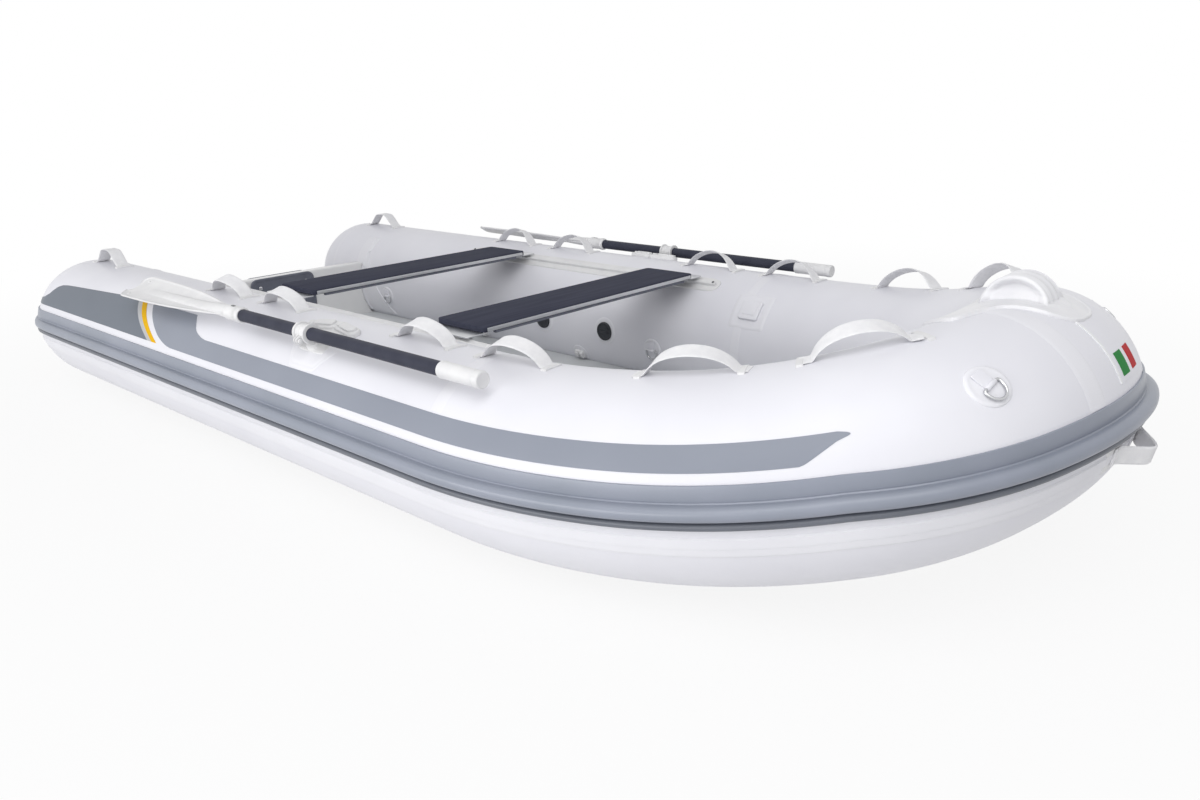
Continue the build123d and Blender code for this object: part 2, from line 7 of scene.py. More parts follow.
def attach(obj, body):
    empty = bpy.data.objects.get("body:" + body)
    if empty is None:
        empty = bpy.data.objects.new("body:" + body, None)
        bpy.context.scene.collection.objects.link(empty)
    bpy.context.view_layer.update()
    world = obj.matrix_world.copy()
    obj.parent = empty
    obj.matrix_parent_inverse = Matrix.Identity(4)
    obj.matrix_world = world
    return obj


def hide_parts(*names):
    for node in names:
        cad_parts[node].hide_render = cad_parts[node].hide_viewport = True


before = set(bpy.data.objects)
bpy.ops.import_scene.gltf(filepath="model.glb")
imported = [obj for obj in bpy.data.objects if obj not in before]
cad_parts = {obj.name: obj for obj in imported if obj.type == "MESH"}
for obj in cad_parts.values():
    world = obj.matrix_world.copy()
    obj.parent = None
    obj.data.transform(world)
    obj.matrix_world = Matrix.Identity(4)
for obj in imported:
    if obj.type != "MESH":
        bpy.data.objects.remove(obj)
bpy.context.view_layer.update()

print("frame loaded:", len(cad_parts), "nodes")

starboard, port = -1, 1
sideNames = {starboard: "starboard", port: "port"}


# Materials

def hexColour(text):
    # sRGB hex to linear: value / 12.92 below 0.04045, else ((value + 0.055) / 1.055) to the power 2.4
    values = np.array([int(text[i:i + 2], 16) / 255 for i in (1, 3, 5)])
    linear = np.where(values <= 0.04045, values / 12.92, ((values + 0.055) / 1.055) ** 2.4)
    return (*linear.tolist(), 1.0)


def addNode(tree, kind, settings=None, links=None):
    # settings go to the node's own fields or, by name or number, to its inputs; links join outputs to inputs
    node = tree.nodes.new(kind)
    for key, value in (settings or {}).items():
        if isinstance(key, str) and hasattr(node, key):
            setattr(node, key, value)
        else:
            node.inputs[key].default_value = value
    for key, socket in (links or {}).items():
        tree.links.new(socket, node.inputs[key])
    return node


def addNoise(tree, place, scale, detail, settings=None):
    noise = addNode(tree, "ShaderNodeTexNoise", {"Scale": scale, "Detail": detail, **(settings or {})},
                    {"Vector": place})
    return noise.outputs["Fac"]


def addWave(tree, place, direction, scale, settings=None):
    wave = addNode(tree, "ShaderNodeTexWave", {"bands_direction": direction, "Scale": scale, **(settings or {})},
                   {"Vector": place})
    return wave.outputs["Fac"]


def addMapping(tree, place, settings):
    return addNode(tree, "ShaderNodeMapping", settings, {"Vector": place}).outputs[0]


def addMath(tree, operation, first, second):
    return addNode(tree, "ShaderNodeMath", {"operation": operation}, {0: first, 1: second}).outputs[0]


def startMaterial(name, settings):
    # one principled shader, and the object coordinates in metres that its patterns read
    material = bpy.data.materials.new(name)
    material.use_nodes = True
    tree = material.node_tree
    tree.nodes.clear()
    shader = addNode(tree, "ShaderNodeBsdfPrincipled", settings)
    addNode(tree, "ShaderNodeOutputMaterial", links={"Surface": shader.outputs["BSDF"]})
    place = addNode(tree, "ShaderNodeTexCoord").outputs["Object"]
    return material, tree, shader, place


def addTint(tree, shader, factor, tints, stops=(0.35, 0.7)):
    # base colour from the darker to the lighter tint of one finish
    ramp = addNode(tree, "ShaderNodeValToRGB", links={"Fac": factor})
    for element, stop, tint in zip(ramp.color_ramp.elements, stops, reversed(tints)):
        element.position = stop
        element.color = hexColour(tint)
    tree.links.new(ramp.outputs["Color"], shader.inputs["Base Color"])


def addRelief(tree, shader, height, strength, depth, links=None, invert=False):
    bump = addNode(tree, "ShaderNodeBump", {"Strength": strength, "Distance": depth, "invert": invert},
                   {"Height": height, **(links or {})})
    tree.links.new(bump.outputs["Normal"], shader.inputs["Normal"])
    return bump.outputs["Normal"]


def evenFinish(name, tints, settings, cloud, grain, relief):
    # soft clouds of two tints and one fine relief; grain is a noise's scale and detail, relief its strength and depth
    material, tree, shader, place = startMaterial(name, settings)
    addTint(tree, shader, addNoise(tree, place, cloud, 3.0), tints)
    addRelief(tree, shader, addNoise(tree, place, *grain), *relief)
    return material


def mouldedPlastic(name, tints, roughness=0.38, grain=600.0, shine=0.5):
    # polypropylene from a sanded mould: even colour, satin, with a pebble of about 1.5 mm
    return evenFinish(name, tints, {"Roughness": roughness, "IOR": 1.49, "Specular IOR Level": shine},
                      18.0, (grain, 1.0), (0.12, 0.0003))


def extrudedRubber(name, tints, roughness=0.36):
    # PVC strake from a die: glossy satin, with faint scuffs
    return evenFinish(name, tints, {"Roughness": roughness, "IOR": 1.52, "Coat Weight": 0.08, "Coat Roughness": 0.2},
                      5.0, (160.0, 4.0), (0.06, 0.0005))


def gelcoatFinish(name, tints):
    # polyester gelcoat out of a polished mould: clear deep gloss over white, a trace of print-through
    return evenFinish(name, tints, {"Roughness": 0.28, "IOR": 1.55, "Coat Weight": 0.35, "Coat Roughness": 0.08},
                      3.0, (40.0, 2.0), (0.05, 0.0008))


def coatedFabric(name, tints, roughness=0.38, shine=0.33):
    # PVC-coated polyester cloth: weave under a satin coat, so broad soft highlights and a faint grain;
    # its threads are drawn 4 mm apart, wider than they are, so that they show
    material, tree, shader, place = startMaterial(name, {
        "Roughness": roughness, "IOR": 1.5, "Specular IOR Level": shine,
        "Coat Weight": shine * 0.2, "Coat Roughness": 0.3})
    addTint(tree, shader, addNoise(tree, place, 2.6, 3.0), tints)
    threads = [addWave(tree, place, direction, 78.0, {"Distortion": 0.6, "Detail": 1.0}) for direction in "XYZ"]
    cloth = addMath(tree, "ADD", addMath(tree, "ADD", threads[0], threads[1]), threads[2])
    weave = addRelief(tree, shader, cloth, 0.05, 0.0004)
    slack = addNoise(tree, place, 7.0, 2.0, {"Roughness": 0.4})
    addRelief(tree, shader, slack, 0.25, 0.004, {"Normal": weave})
    return material


def wovenStrap(name, tints):
    # polyester webbing: ribs run the strap's length, from the strap's own map in metres
    material, tree, shader, place = startMaterial(name, {"Roughness": 0.62, "IOR": 1.5, "Sheen Weight": 0.15})
    addTint(tree, shader, addNoise(tree, place, 60.0, 3.0), tints)
    strap = addNode(tree, "ShaderNodeAttribute", {"attribute_name": "strapMap"}).outputs["Vector"]
    ribs, picks = addWave(tree, strap, "Y", 110.0), addWave(tree, strap, "X", 140.0)
    both = addNode(tree, "ShaderNodeMath", {"operation": "MULTIPLY_ADD", 1: 0.35}, {0: picks, 2: ribs})
    addRelief(tree, shader, both.outputs[0], 0.5, 0.0005)
    return material


def nonSkidSole(name, tints):
    # gelcoat moulded with a non-slip field of small lozenges, 9 mm apart
    material, tree, shader, place = startMaterial(name, {"Roughness": 0.55, "IOR": 1.5})
    addTint(tree, shader, addNoise(tree, place, 4.0, 3.0), tints)
    turned = addMapping(tree, place, {"Rotation": (0, 0, math.radians(45)), "Scale": (110, 110, 0)})
    studs = addNode(tree, "ShaderNodeTexVoronoi", {"Scale": 1.0, "Randomness": 0.0}, {"Vector": turned})
    addRelief(tree, shader, studs.outputs["Distance"], 0.6, 0.001, invert=True)
    return material


def coatedBoard(name, tints):
    # marine plywood with a dark grained resin face: fine streaks along the board
    material, tree, shader, place = startMaterial(name, {"Roughness": 0.7, "IOR": 1.5, "Specular IOR Level": 0.02})
    streaks = addNoise(tree, addMapping(tree, place, {"Scale": (90, 5, 90)}), 1.0, 5.0)
    addTint(tree, shader, streaks, tints, (0.3, 0.75))
    addRelief(tree, shader, streaks, 0.25, 0.0004)
    return material


def metalFinish(name, tints, roughness, grain, stretch=(1, 1, 1)):
    # drawn or polished metal: reflects the studio, with scratches along the draw
    material, tree, shader, place = startMaterial(name, {"Metallic": 1.0})
    scratch = addNoise(tree, addMapping(tree, place, {"Scale": stretch}), grain, 3.0)
    addTint(tree, shader, scratch, tints, (0.0, 1.0))
    spread = addNode(tree, "ShaderNodeMapRange", {"To Min": roughness * 0.8, "To Max": roughness * 1.25},
                     {"Value": scratch})
    tree.links.new(spread.outputs["Result"], shader.inputs["Roughness"])
    return material


finishes = {
    "palePvc": coatedFabric("palePvcCloth", ("#e2e2e7", "#dbdbe1"), 0.40),
    "seamPvc": coatedFabric("seamTapeCloth", ("#e5e5e9", "#dedee3"), 0.45),
    "greyPvc": coatedFabric("greyPvcCloth", ("#8c919c", "#868b96"), shine=0.22),
    "darkPvc": coatedFabric("darkPvcCloth", ("#6a717b", "#646b75"), shine=0.22),
    "silverPvc": coatedFabric("silverPvcCloth", ("#b3b4b6", "#adaeb1")),
    "yellowPvc": coatedFabric("yellowPvcCloth", ("#e2b100", "#dcaa00"), 0.5, 0.08),
    "greenPvc": coatedFabric("greenPvcCloth", ("#23803a", "#1f7735"), 0.5, 0.06),
    "redPvc": coatedFabric("redPvcCloth", ("#b51d22", "#ab181d"), 0.5, 0.06),
    # painted highlight: this whiter cloth serves only the nose strip's lit left edge
    "highlightPvc": coatedFabric("paintedHighlightCloth", ("#eceded", "#e6e7e8")),
    "strake": extrudedRubber("extrudedGreyStrake", ("#8c919e", "#858b97")),
    # the lip's darker grey is partly its own rubber and partly painted shade, the shade under the rib's overhang
    "lip": extrudedRubber("extrudedDarkLipAndShade", ("#666a73", "#5f636c"), 0.4),
    "keel": extrudedRubber("extrudedKeelGuard", ("#6b6f75", "#62666c"), 0.5),
    "webbing": wovenStrap("whitePolyesterWebbing", ("#e9e9ea", "#e2e2e4")),
    "whitePlastic": mouldedPlastic("whiteMouldedPlastic", ("#dfdfdf", "#d8d8d9")),
    "saddlePlastic": mouldedPlastic("whiteMouldedSaddle", ("#e4e4e6", "#dddde0"), 0.32, 300.0),
    # black rubber for valves, screws and plug; on the oar necks the same black is painted shade for the button slots
    "blackRubberAndShade": mouldedPlastic("blackValveRubberAndShade", ("#33363b", "#2b2e33"), 0.45),
    # dark grey plate; on the thwart bars the same dark grey is painted shade under the boards' edges
    "darkPlateAndShade": mouldedPlastic("darkMouldedPlateAndShade", ("#6c6f7a", "#646772"), 0.5, 350.0, 0.25),
    "shaft": mouldedPlastic("darkSleevedTube", ("#3c3e4a", "#343642"), 0.5, 200.0, 0.12),
    "board": coatedBoard("darkResinBoard", ("#444653", "#3a3c49")),
    "gelcoat": gelcoatFinish("whiteGelcoat", ("#e9e9e8", "#e1e1e1")),
    "nonSkid": nonSkidSole("nonSkidGelcoat", ("#d2d4d5", "#c8cbcd")),
    "aluminium": metalFinish("satinAluminium", ("#d5d6d8", "#bfc1c4"), 0.34, 120.0, (8, 1, 8)),
    "stainless": metalFinish("polishedStainless", ("#cfd0d2", "#b9babd"), 0.16, 90.0),
}
print("materials:", len(finishes))


# Mesh helpers

def makePiece(name, parts, finish, replaced=None, body="boat", sharp=35.0, normals=None, strapMap=None):
    # one mesh from one (points, faces) part or a list of them, smooth but for edges over the sharp angle
    verts, faces = gatherParts(parts if isinstance(parts, list) else [parts])
    mesh = bpy.data.meshes.new(name)
    mesh.from_pydata(verts.tolist(), [], [list(map(int, face)) for face in faces])
    mesh.update()
    piece = bpy.data.objects.new(name, mesh)
    bpy.context.scene.collection.objects.link(piece)
    if strapMap is not None:
        layer = mesh.attributes.new("strapMap", "FLOAT_VECTOR", "POINT")
        layer.data.foreach_set("vector", np.asarray(strapMap, np.float32).ravel())
    faceOutward(mesh)
    mesh.polygons.foreach_set("use_smooth", np.ones(len(mesh.polygons), bool))
    if normals is not None:
        mesh.normals_split_custom_set_from_vertices(normals.tolist())
    else:
        mesh.set_sharp_from_angle(angle=math.radians(sharp))
    mesh.materials.append(finishes[finish])
    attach(piece, body)
    if replaced:
        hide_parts(replaced)


def faceOutward(mesh):
    # closed mesh: its signed volume, a sum of corner triple products, is negative where it is inside out
    mesh.calc_loop_triangles()
    co = np.empty(len(mesh.vertices) * 3)
    mesh.vertices.foreach_get("co", co)
    co = co.reshape(-1, 3)
    tris = np.empty(len(mesh.loop_triangles) * 3, int)
    mesh.loop_triangles.foreach_get("vertices", tris)
    a, b, c = co[tris.reshape(-1, 3)].transpose(1, 0, 2)
    if np.einsum("ij,ij->i", a, np.cross(b, c)).sum() < 0:
        mesh.flip_normals()


def gridFaces(rows, columns, closed=False, first=0):
    # quads of a grid of rows by columns; closed joins the last column to the first
    i, j = np.meshgrid(np.arange(rows - 1), np.arange(columns if closed else columns - 1), indexing="ij")
    k = (j + 1) % columns
    quads = np.stack([i * columns + j, (i + 1) * columns + j, (i + 1) * columns + k, i * columns + k], -1)
    return (quads.reshape(-1, 4) + first).tolist()


def loftFaces(rows, columns, first=0):
    # closed rings with a flat face at both ends
    faces = gridFaces(rows, columns, True, first)
    faces.append([first + j for j in range(columns)])
    faces.append([first + (rows - 1) * columns + j for j in reversed(range(columns))])
    return faces


def loopFaces(rows, columns):
    # closed rings, the last one joined to the first
    last = (rows - 1) * columns
    joins = [[last + j, j, (j + 1) % columns, last + (j + 1) % columns] for j in range(columns)]
    return gridFaces(rows, columns, True) + joins


def slabFaces(rows, columns):
    # top grid, bottom grid and the wall round their border
    size = rows * columns
    faces = gridFaces(rows, columns)
    faces += [quad[::-1] for quad in gridFaces(rows, columns, first=size)]
    border = [j for j in range(columns)]
    border += [i * columns + columns - 1 for i in range(1, rows)]
    border += [(rows - 1) * columns + j for j in reversed(range(columns - 1))]
    border += [i * columns for i in reversed(range(1, rows - 1))]
    for a, b in zip(border, border[1:] + border[:1]):
        faces.append([b, a, a + size, b + size])
    return faces


def gatherParts(parts):
    # several (points, faces) of one piece as one list
    points, faces, first = [], [], 0
    for part, partFaces in parts:
        part = np.asarray(part, float).reshape(-1, 3)
        points.append(part)
        faces += [[index + first for index in face] for face in partFaces]
        first += len(part)
    return np.concatenate(points), faces


def loftPart(grid):
    return grid, loftFaces(*grid.shape[:2])


def slabPart(top, bottom):
    return np.concatenate([top.reshape(-1, 3), bottom.reshape(-1, 3)]), slabFaces(*top.shape[:2])


def lathePart(origin, axis, profile, count=40):
    # rings of radius r at distance s along an axis; a radius of 0 at an end closes it in a pole
    axis = np.asarray(axis, float) / np.linalg.norm(axis)
    side = np.cross(axis, (0, 0, 1) if abs(axis[2]) < 0.9 else (1, 0, 0))
    side /= np.linalg.norm(side)
    other = np.cross(axis, side)
    t = np.linspace(0, 2 * np.pi, count, endpoint=False)
    ring = np.cos(t)[:, None] * side + np.sin(t)[:, None] * other
    profile = [(s, max(r, 1e-5)) for s, r in profile]
    points = np.array([np.asarray(origin) + axis * s + ring * r for s, r in profile])
    return points, loftFaces(len(profile), count)


def ringPart(origin, axis, profile, count=40):
    # closed profile of (distance, radius) turned about an axis: a ring with its bore
    return lathePart(origin, axis, profile, count)[0], loopFaces(len(profile), count)


def roundedRectangle(length, width, corner, count=7):
    # outline of four quarter circles, anticlockwise
    t = np.linspace(0, np.pi / 2, count)
    turned = np.concatenate([t + k * np.pi / 2 for k in range(4)])
    signs = np.repeat([(1, 1), (-1, 1), (-1, -1), (1, -1)], count, axis=0)
    return signs * (length / 2 - corner, width / 2 - corner) + corner * np.stack([np.cos(turned), np.sin(turned)], -1)


def edgeRows(low, high, bevel):
    # (inset, height) rows of a wall whose two edges are quarter circles
    steps = np.linspace(0, np.pi / 2, 5)
    rows = [(bevel * (1 - math.sin(s)), low + bevel * (1 - math.cos(s))) for s in steps]
    return rows + [(inset, high + low - height) for inset, height in reversed(rows)]


def outlinePart(origin, axes, outline, rows):
    # outline drawn in by each row's inset along its own normals, at that row's height on the third axis
    x, y, z = [np.asarray(a, float) for a in axes]
    along = np.roll(outline, -1, 0) - np.roll(outline, 1, 0)
    outward = np.stack([along[:, 1], -along[:, 0]], -1)
    outward /= np.maximum(np.linalg.norm(outward, axis=1)[:, None], 1e-9)
    points = []
    for inset, height in rows:
        flat = outline - outward * inset
        points.append(np.asarray(origin) + flat[:, 0:1] * x + flat[:, 1:2] * y + height * z)
    return np.array(points), loftFaces(len(rows), len(outline))


def blockPart(origin, axes, size, corner, low, high, bevel):
    # rounded rectangle between two heights, both its edges rounded over
    return outlinePart(origin, axes, roundedRectangle(*size, corner), edgeRows(low, high, bevel))


def wirePart(path, radius, count=16):
    # circle carried round a closed path: each ring is square to the path, its axes carried on from the ring before
    along = np.roll(path, -1, 0) - np.roll(path, 1, 0)
    along /= np.linalg.norm(along, axis=1)[:, None]
    normal = np.cross(along[0], (0, 0, 1) if abs(along[0][2]) < 0.9 else (1, 0, 0))
    normals = []
    for direction in along:
        normal = normal - direction * (normal @ direction)
        normal = normal / np.linalg.norm(normal)
        normals.append(normal)
    normals = np.array(normals)
    t = np.linspace(0, 2 * np.pi, count, endpoint=False)[None, :, None]
    points = path[:, None] + radius * (np.cos(t) * normals[:, None] + np.sin(t) * np.cross(along, normals)[:, None])
    return points, loopFaces(len(path), count)


# Collar: a straight run and four tangent arcs on each side

collar = {
    "radius": 0.230,
    "halfSpacing": 0.6205,
    "height": 0.245,
    "domeX": -1.674,            # centre of the stern dome
    "curveX": 0.623,
    "shoulder": (1.457, -0.396, 0.336),
    "shoulderHeading": 29.7,    # degrees inboard
    "shoulderPitch": 14.2,      # degrees up
    "nose": (1.659, 0.0, 0.408),
    "around": 120,              # points round the tube
}


def turnAbout(vectors, axis, angles):
    # v cos + (axis x v) sin + axis (axis . v)(1 - cos)
    vectors = np.broadcast_to(vectors, (len(angles), 3))
    c, s = np.cos(angles)[:, None], np.sin(angles)[:, None]
    return vectors * c + np.cross(axis, vectors) * s + axis * (vectors @ axis)[:, None] * (1 - c)


def meetingPoint(start, startDir, end, endDir):
    # where two arcs meet that leave start and reach end along the given directions
    chord, both = end - start, startDir + endDir
    spread = 2 * (1 - startDir @ endDir)
    along = chord @ both
    reach = (math.sqrt(along ** 2 + spread * (chord @ chord)) - along) / spread
    return (start + end + (startDir - endDir) * reach) / 2


def findArcs():
    heading, pitch = math.radians(collar["shoulderHeading"]), math.radians(collar["shoulderPitch"])
    start = np.array([collar["curveX"], -collar["halfSpacing"], collar["height"]])
    shoulder, nose = np.array(collar["shoulder"]), np.array(collar["nose"])
    ahead, across = np.eye(3)[:2]
    leaning = np.array([math.cos(heading) * math.cos(pitch), math.sin(heading) * math.cos(pitch), math.sin(pitch)])
    stops = [meetingPoint(start, ahead, shoulder, leaning), shoulder,
             meetingPoint(shoulder, leaning, nose, across), nose]
    distance, centre, tangent = collar["curveX"] - collar["domeX"], start, ahead
    arcs = []
    for stop in stops:
        chord = stop - centre
        axis = np.cross(tangent, chord)
        axis /= np.linalg.norm(axis)
        inward = np.cross(axis, tangent)
        radius = chord @ chord / (2 * chord @ inward)
        angle = 2 * math.atan2(chord @ inward, chord @ tangent)
        arcs.append((distance, tangent, axis, centre + inward * radius, -inward * radius, radius, angle))
        tangent = turnAbout(tangent, axis, np.array([angle]))[0]
        distance += radius * angle
        centre = stop
    return arcs, distance


collarArcs, collarLength = findArcs()


def collarFrames(distances):
    # centre, tangent, up and outboard at each distance from the dome's centre; below 0 they swing round the dome
    d = np.asarray(distances, float)
    swing = np.clip(-d, 0, None) / collar["radius"]
    centre = np.stack([collar["domeX"] + np.clip(d, 0, None), np.full(d.shape, -collar["halfSpacing"]),
                       np.full(d.shape, collar["height"])], -1)
    tangent = np.stack([np.cos(swing), -np.sin(swing), 0 * d], -1)
    up = np.stack([0 * d, 0 * d, np.ones(d.shape)], -1)
    for start, arcTangent, axis, hub, spoke, radius, angle in collarArcs:
        inside = d > start
        turned = np.clip((d[inside] - start) / radius, 0, angle + 1e-6)
        centre[inside] = hub + turnAbout(spoke, axis, turned)
        tangent[inside] = turnAbout(arcTangent, axis, turned)
    up = up - tangent * tangent[:, 2:3]  # the collar is kept level: up is the vertical, square to the tube
    up /= np.linalg.norm(up, axis=1)[:, None]
    return centre, tangent, up, np.cross(tangent, up)


def onTube(distance, angle, lift=0.0, side=starboard):
    # centre + (radius + lift)(outboard cos + up sin); the port side is the mirror image
    distance, angle, lift = np.broadcast_arrays(distance, angle, lift)
    centre, tangent, up, out = collarFrames(distance.ravel())
    a = np.radians(angle.ravel())[:, None]
    points = centre + (collar["radius"] + lift.ravel()[:, None]) * (out * np.cos(a) + up * np.sin(a))
    points[:, 1] *= -side
    return points.reshape(distance.shape + (3,))


def tubeAxes(distance, angle, side=starboard):
    # along the tube, round it (angle growing) and out of it, at one point
    centre, tangent, up, out = [v[0] for v in collarFrames(np.array([distance]))]
    a = math.radians(angle)
    normal = out * math.cos(a) + up * math.sin(a)
    around = -out * math.sin(a) + up * math.cos(a)
    mirror = np.array([1, -side, 1])
    return tangent * mirror, around * mirror, normal * mirror


def skinStretch(distance, angle, side=starboard):
    # length along the skin per length of the collar's middle line
    ends = onTube(np.array([distance - 0.001, distance + 0.001]), angle, 0, side)
    return np.linalg.norm(ends[1] - ends[0]) / 0.002


pathSamples = np.linspace(0, collarLength, 4000)
pathX = collarFrames(pathSamples)[0][:, 0]


def distanceAt(x):
    return np.interp(x, pathX, pathSamples)


def stationAt(x):
    # the straight run is read straight off, the curved one from the table
    return distanceAt(x) if x > collar["curveX"] else x - collar["domeX"]


def tubePlace(x, angle, side, lift=0.0):
    # a point over the skin and its three axes: along the tube, round it, out of it
    distance = stationAt(x)
    along, around, normal = tubeAxes(distance, angle, side)
    return onTube(distance, angle, lift, side), along, around, normal


def acrossNose(y, angle, lift):
    # points over the skin at y to port or starboard of the nose, measured along the tube
    points = onTube(collarLength - np.abs(y), angle, lift)
    points[..., 1] *= np.where(y > 0, -1, 1)
    return points


# how far the underside lies inside the skin: cloth, patches round a fitting, and seated pieces
sunk, discSunk, seated = 0.0006, 0.0005, 0.0004


def sheetPart(d, angle, height, side, depth=sunk):
    # sheet that follows the tube, its top at the height and its underside at the depth
    return slabPart(onTube(d, angle, height, side), onTube(d, angle, -depth, side))


bowStart = collarArcs[3][0]
wrapStart = -math.radians(80.0) * collar["radius"]  # where the strake and the panels end, round the stern dome
degreesPerMetre = math.degrees(1 / collar["radius"])


def buildSkin(name, grid, middles, replaced):
    # air chamber: rings round the middles, shaded by the tube's own normals
    normals = ((grid - middles[:, None]) / collar["radius"]).reshape(-1, 3)
    makePiece(name, loftPart(grid), "palePvc", replaced, normals=normals)


def buildTubes():
    angles = np.linspace(-90, 270, collar["around"], endpoint=False)
    straightEnd = collarArcs[0][0]
    d = np.concatenate([np.linspace(0, straightEnd, 60)[:-1], np.linspace(straightEnd, bowStart, 90)])
    # dome: quarter turns of the tube's outline about its long axis, to a small ring at the pole
    t = np.linspace(math.radians(0.4), np.pi / 2, 40)[:, None]
    r, back = np.sin(t) * collar["radius"], np.cos(t) * collar["radius"]
    a = np.radians(angles)[None]
    for side, name in sideNames.items():
        mirror = (1, -side, 1)
        buildSkin(name + "TubeSkin", onTube(d[:, None], angles[None], 0, side), collarFrames(d)[0] * mirror,
                  name + "_tube")
        unit = np.stack([-back + 0 * a, side * r * np.cos(a), r * np.sin(a)], -1)
        middle = np.array([collar["domeX"], side * collar["halfSpacing"], collar["height"]])
        buildSkin(name + "SternDomeSkin", unit + middle, np.broadcast_to(middle, (len(t), 3)), name + "_stern_dome")
    d = np.linspace(bowStart, collarLength, 45)
    back = d[::-1][1:]
    grid = np.concatenate([onTube(d[:, None], angles[None]), onTube(back[:, None], angles[None], 0, port)])
    middles = np.concatenate([collarFrames(d)[0], collarFrames(back)[0] * (1, -1, 1)])
    buildSkin("bowTubeSkin", grid, middles, "bow_tube")


def smoothStep(value, low, high):
    # 3 s^2 - 2 s^3 of the share s between low and high
    share = np.clip((np.asarray(value, float) - low) / (high - low), 0, 1)
    return share * share * (3 - 2 * share)


def ridge(value, middle, width):
    # bell curve of height 1 about the middle
    return np.exp(-((value - middle) / width) ** 2)


def roundedEdge(inset, width, least=0.0):
    # root of the share of an edge's width, so that a sheet's rim rounds over
    return np.sqrt(np.clip(inset / width, least, 1))


def easeRow(values, rounds=6):
    # in place: each inner value moves to the mean of itself, twice, and its neighbours
    for _ in range(rounds):
        values[1:-1] = (values[:-2] + 2 * values[1:-1] + values[2:]) / 4
    return values


profileStep = 0.02
domeFade = {"left": 0.3, "from": -0.10, "to": 0.12}  # share left of the rib, and where it sinks round the dome


def tubeProfile(name, finish, replaced, profile, start, end, side=0, floor=0.0):
    # closed profile of (angle, lift) rows carried along the path; side 0 runs round the bow;
    # over the stern dome what stands above the floor sinks
    d = np.linspace(start, end, max(24, int((end - start) / profileStep)))[:, None]
    angle, lift = np.array(profile).T[:, None]
    if side:
        share = 1 - (1 - domeFade["left"]) * smoothStep(-d, domeFade["from"], domeFade["to"])
        grid = onTube(d, angle, np.minimum(lift, floor) + np.clip(lift - floor, 0, None) * share, side)
    else:
        grid = np.concatenate([onTube(d, angle, lift), onTube(d[::-1][1:], angle, lift, port)])
    makePiece(name, loftPart(grid), finish, replaced, sharp=30.0)


strake = {
    "top": 18.0, "ribTop": 9.0, "ribBottom": 1.0, "lipTop": 0.5, "bottom": -3.8,  # angles below and above outboard
    "seat": 0.0004, "band": 0.005, "bulge": 0.024, "lip": 0.016,
}


def buildStrake():
    s = strake
    seat, band = s["seat"], s["band"]
    middle, half = (s["ribTop"] + s["ribBottom"]) / 2, (s["ribTop"] - s["ribBottom"]) / 2
    rib = [(middle + half * np.sign(math.cos(t)) * abs(math.cos(t)) ** 0.8, band + s["bulge"] * math.sin(t) ** 0.9)
           for t in np.linspace(0, np.pi, 19)]
    profile = [(s["top"], seat), (s["top"], band * 0.7), (s["top"] - 0.35, band), (s["ribTop"] + 1.6, band),
               (s["ribTop"] + 0.7, band - 0.0016), *rib, (s["ribBottom"], seat)]
    middle, half = (s["lipTop"] + s["bottom"]) / 2, (s["lipTop"] - s["bottom"]) / 2
    bead = [(middle + half * math.cos(t), band + (s["lip"] - band) * math.sin(t)) for t in np.linspace(0, np.pi, 9)]
    lip = [(s["lipTop"], seat), *bead, (s["bottom"], seat)]
    runs = [(name, wrapStart, bowStart, side) for side, name in sideNames.items()]
    for name, start, end, side in runs + [("bow", bowStart, collarLength, 0)]:
        tubeProfile(name + "StrakeBand", "strake", name + "_rubbing_strake", profile, start, end, side, band)
        # the lip is coloured darker than the band: partly its own rubber, partly painted shade under the rib
        tubeProfile(name + "StrakeLip", "lip", name + "_strake_lip", lip, start, end, side, band)


panelLift = 0.0008


def tubePanel(name, finish, rows, side, columns):
    # cloth panel glued on the tube: each row is (angle, start, end), filled evenly from start to end
    angle, start, end = np.stack(rows)[..., None]
    d = start + (end - start) * np.linspace(0, 1, columns)[None]
    makePiece(name, sheetPart(d, angle, panelLift, side), finish)


stripes = {
    "bottom": 23.6, "top": 37.5, "panelTop": 55.0,  # angles of the long stripe's edges and the panels' top
    "tipTop": 1.473, "tipBottom": 1.403,  # x of the long stripe's slanted fore end
    "yellowTop": (-0.909, 50.0), "yellowBottom": (-0.723, 21.0),  # x and angle of the yellow line's ends
    "yellow": 0.034, "silver": 0.030, "gap": 0.045,
    "secondTop": (-0.584, 56.0), "secondBottom": (-0.491, 36.0),
    "secondFoot": (8.0, 0.05), "secondFillet": (7.0, 0.07),  # degrees and reach of the second panel's round corners
    # where the stern panel starts at each angle, measured from the dome's centre
    "sternAngles": [23.6, 25.5, 28.0, 31.0, 34.7, 39.0, 43.5, 46.3, 47.6, 48.6, 50.8, 53.8, 55.0],
    "sternStarts": [-0.200, -0.090, -0.024, 0.010, 0.028, 0.050, 0.078, 0.115, 0.180, 0.343, 0.560, 0.660],
}


def slantedLine(angles, top, bottom):
    # distance from the dome's centre along a straight line between two (x, angle) ends
    slope = (bottom[0] - top[0]) / (top[1] - bottom[1])
    return top[0] + slope * (top[1] - angles) - collar["domeX"]


def roundCorner(angles, foot, degrees, reach):
    # reach (1 - sqrt(1 - s^2)), with s falling from 1 at the foot to 0 over the corner's degrees
    s = np.clip(1 - (angles - foot) / degrees, 0, 1)
    return reach * (1 - np.sqrt(1 - s ** 2))


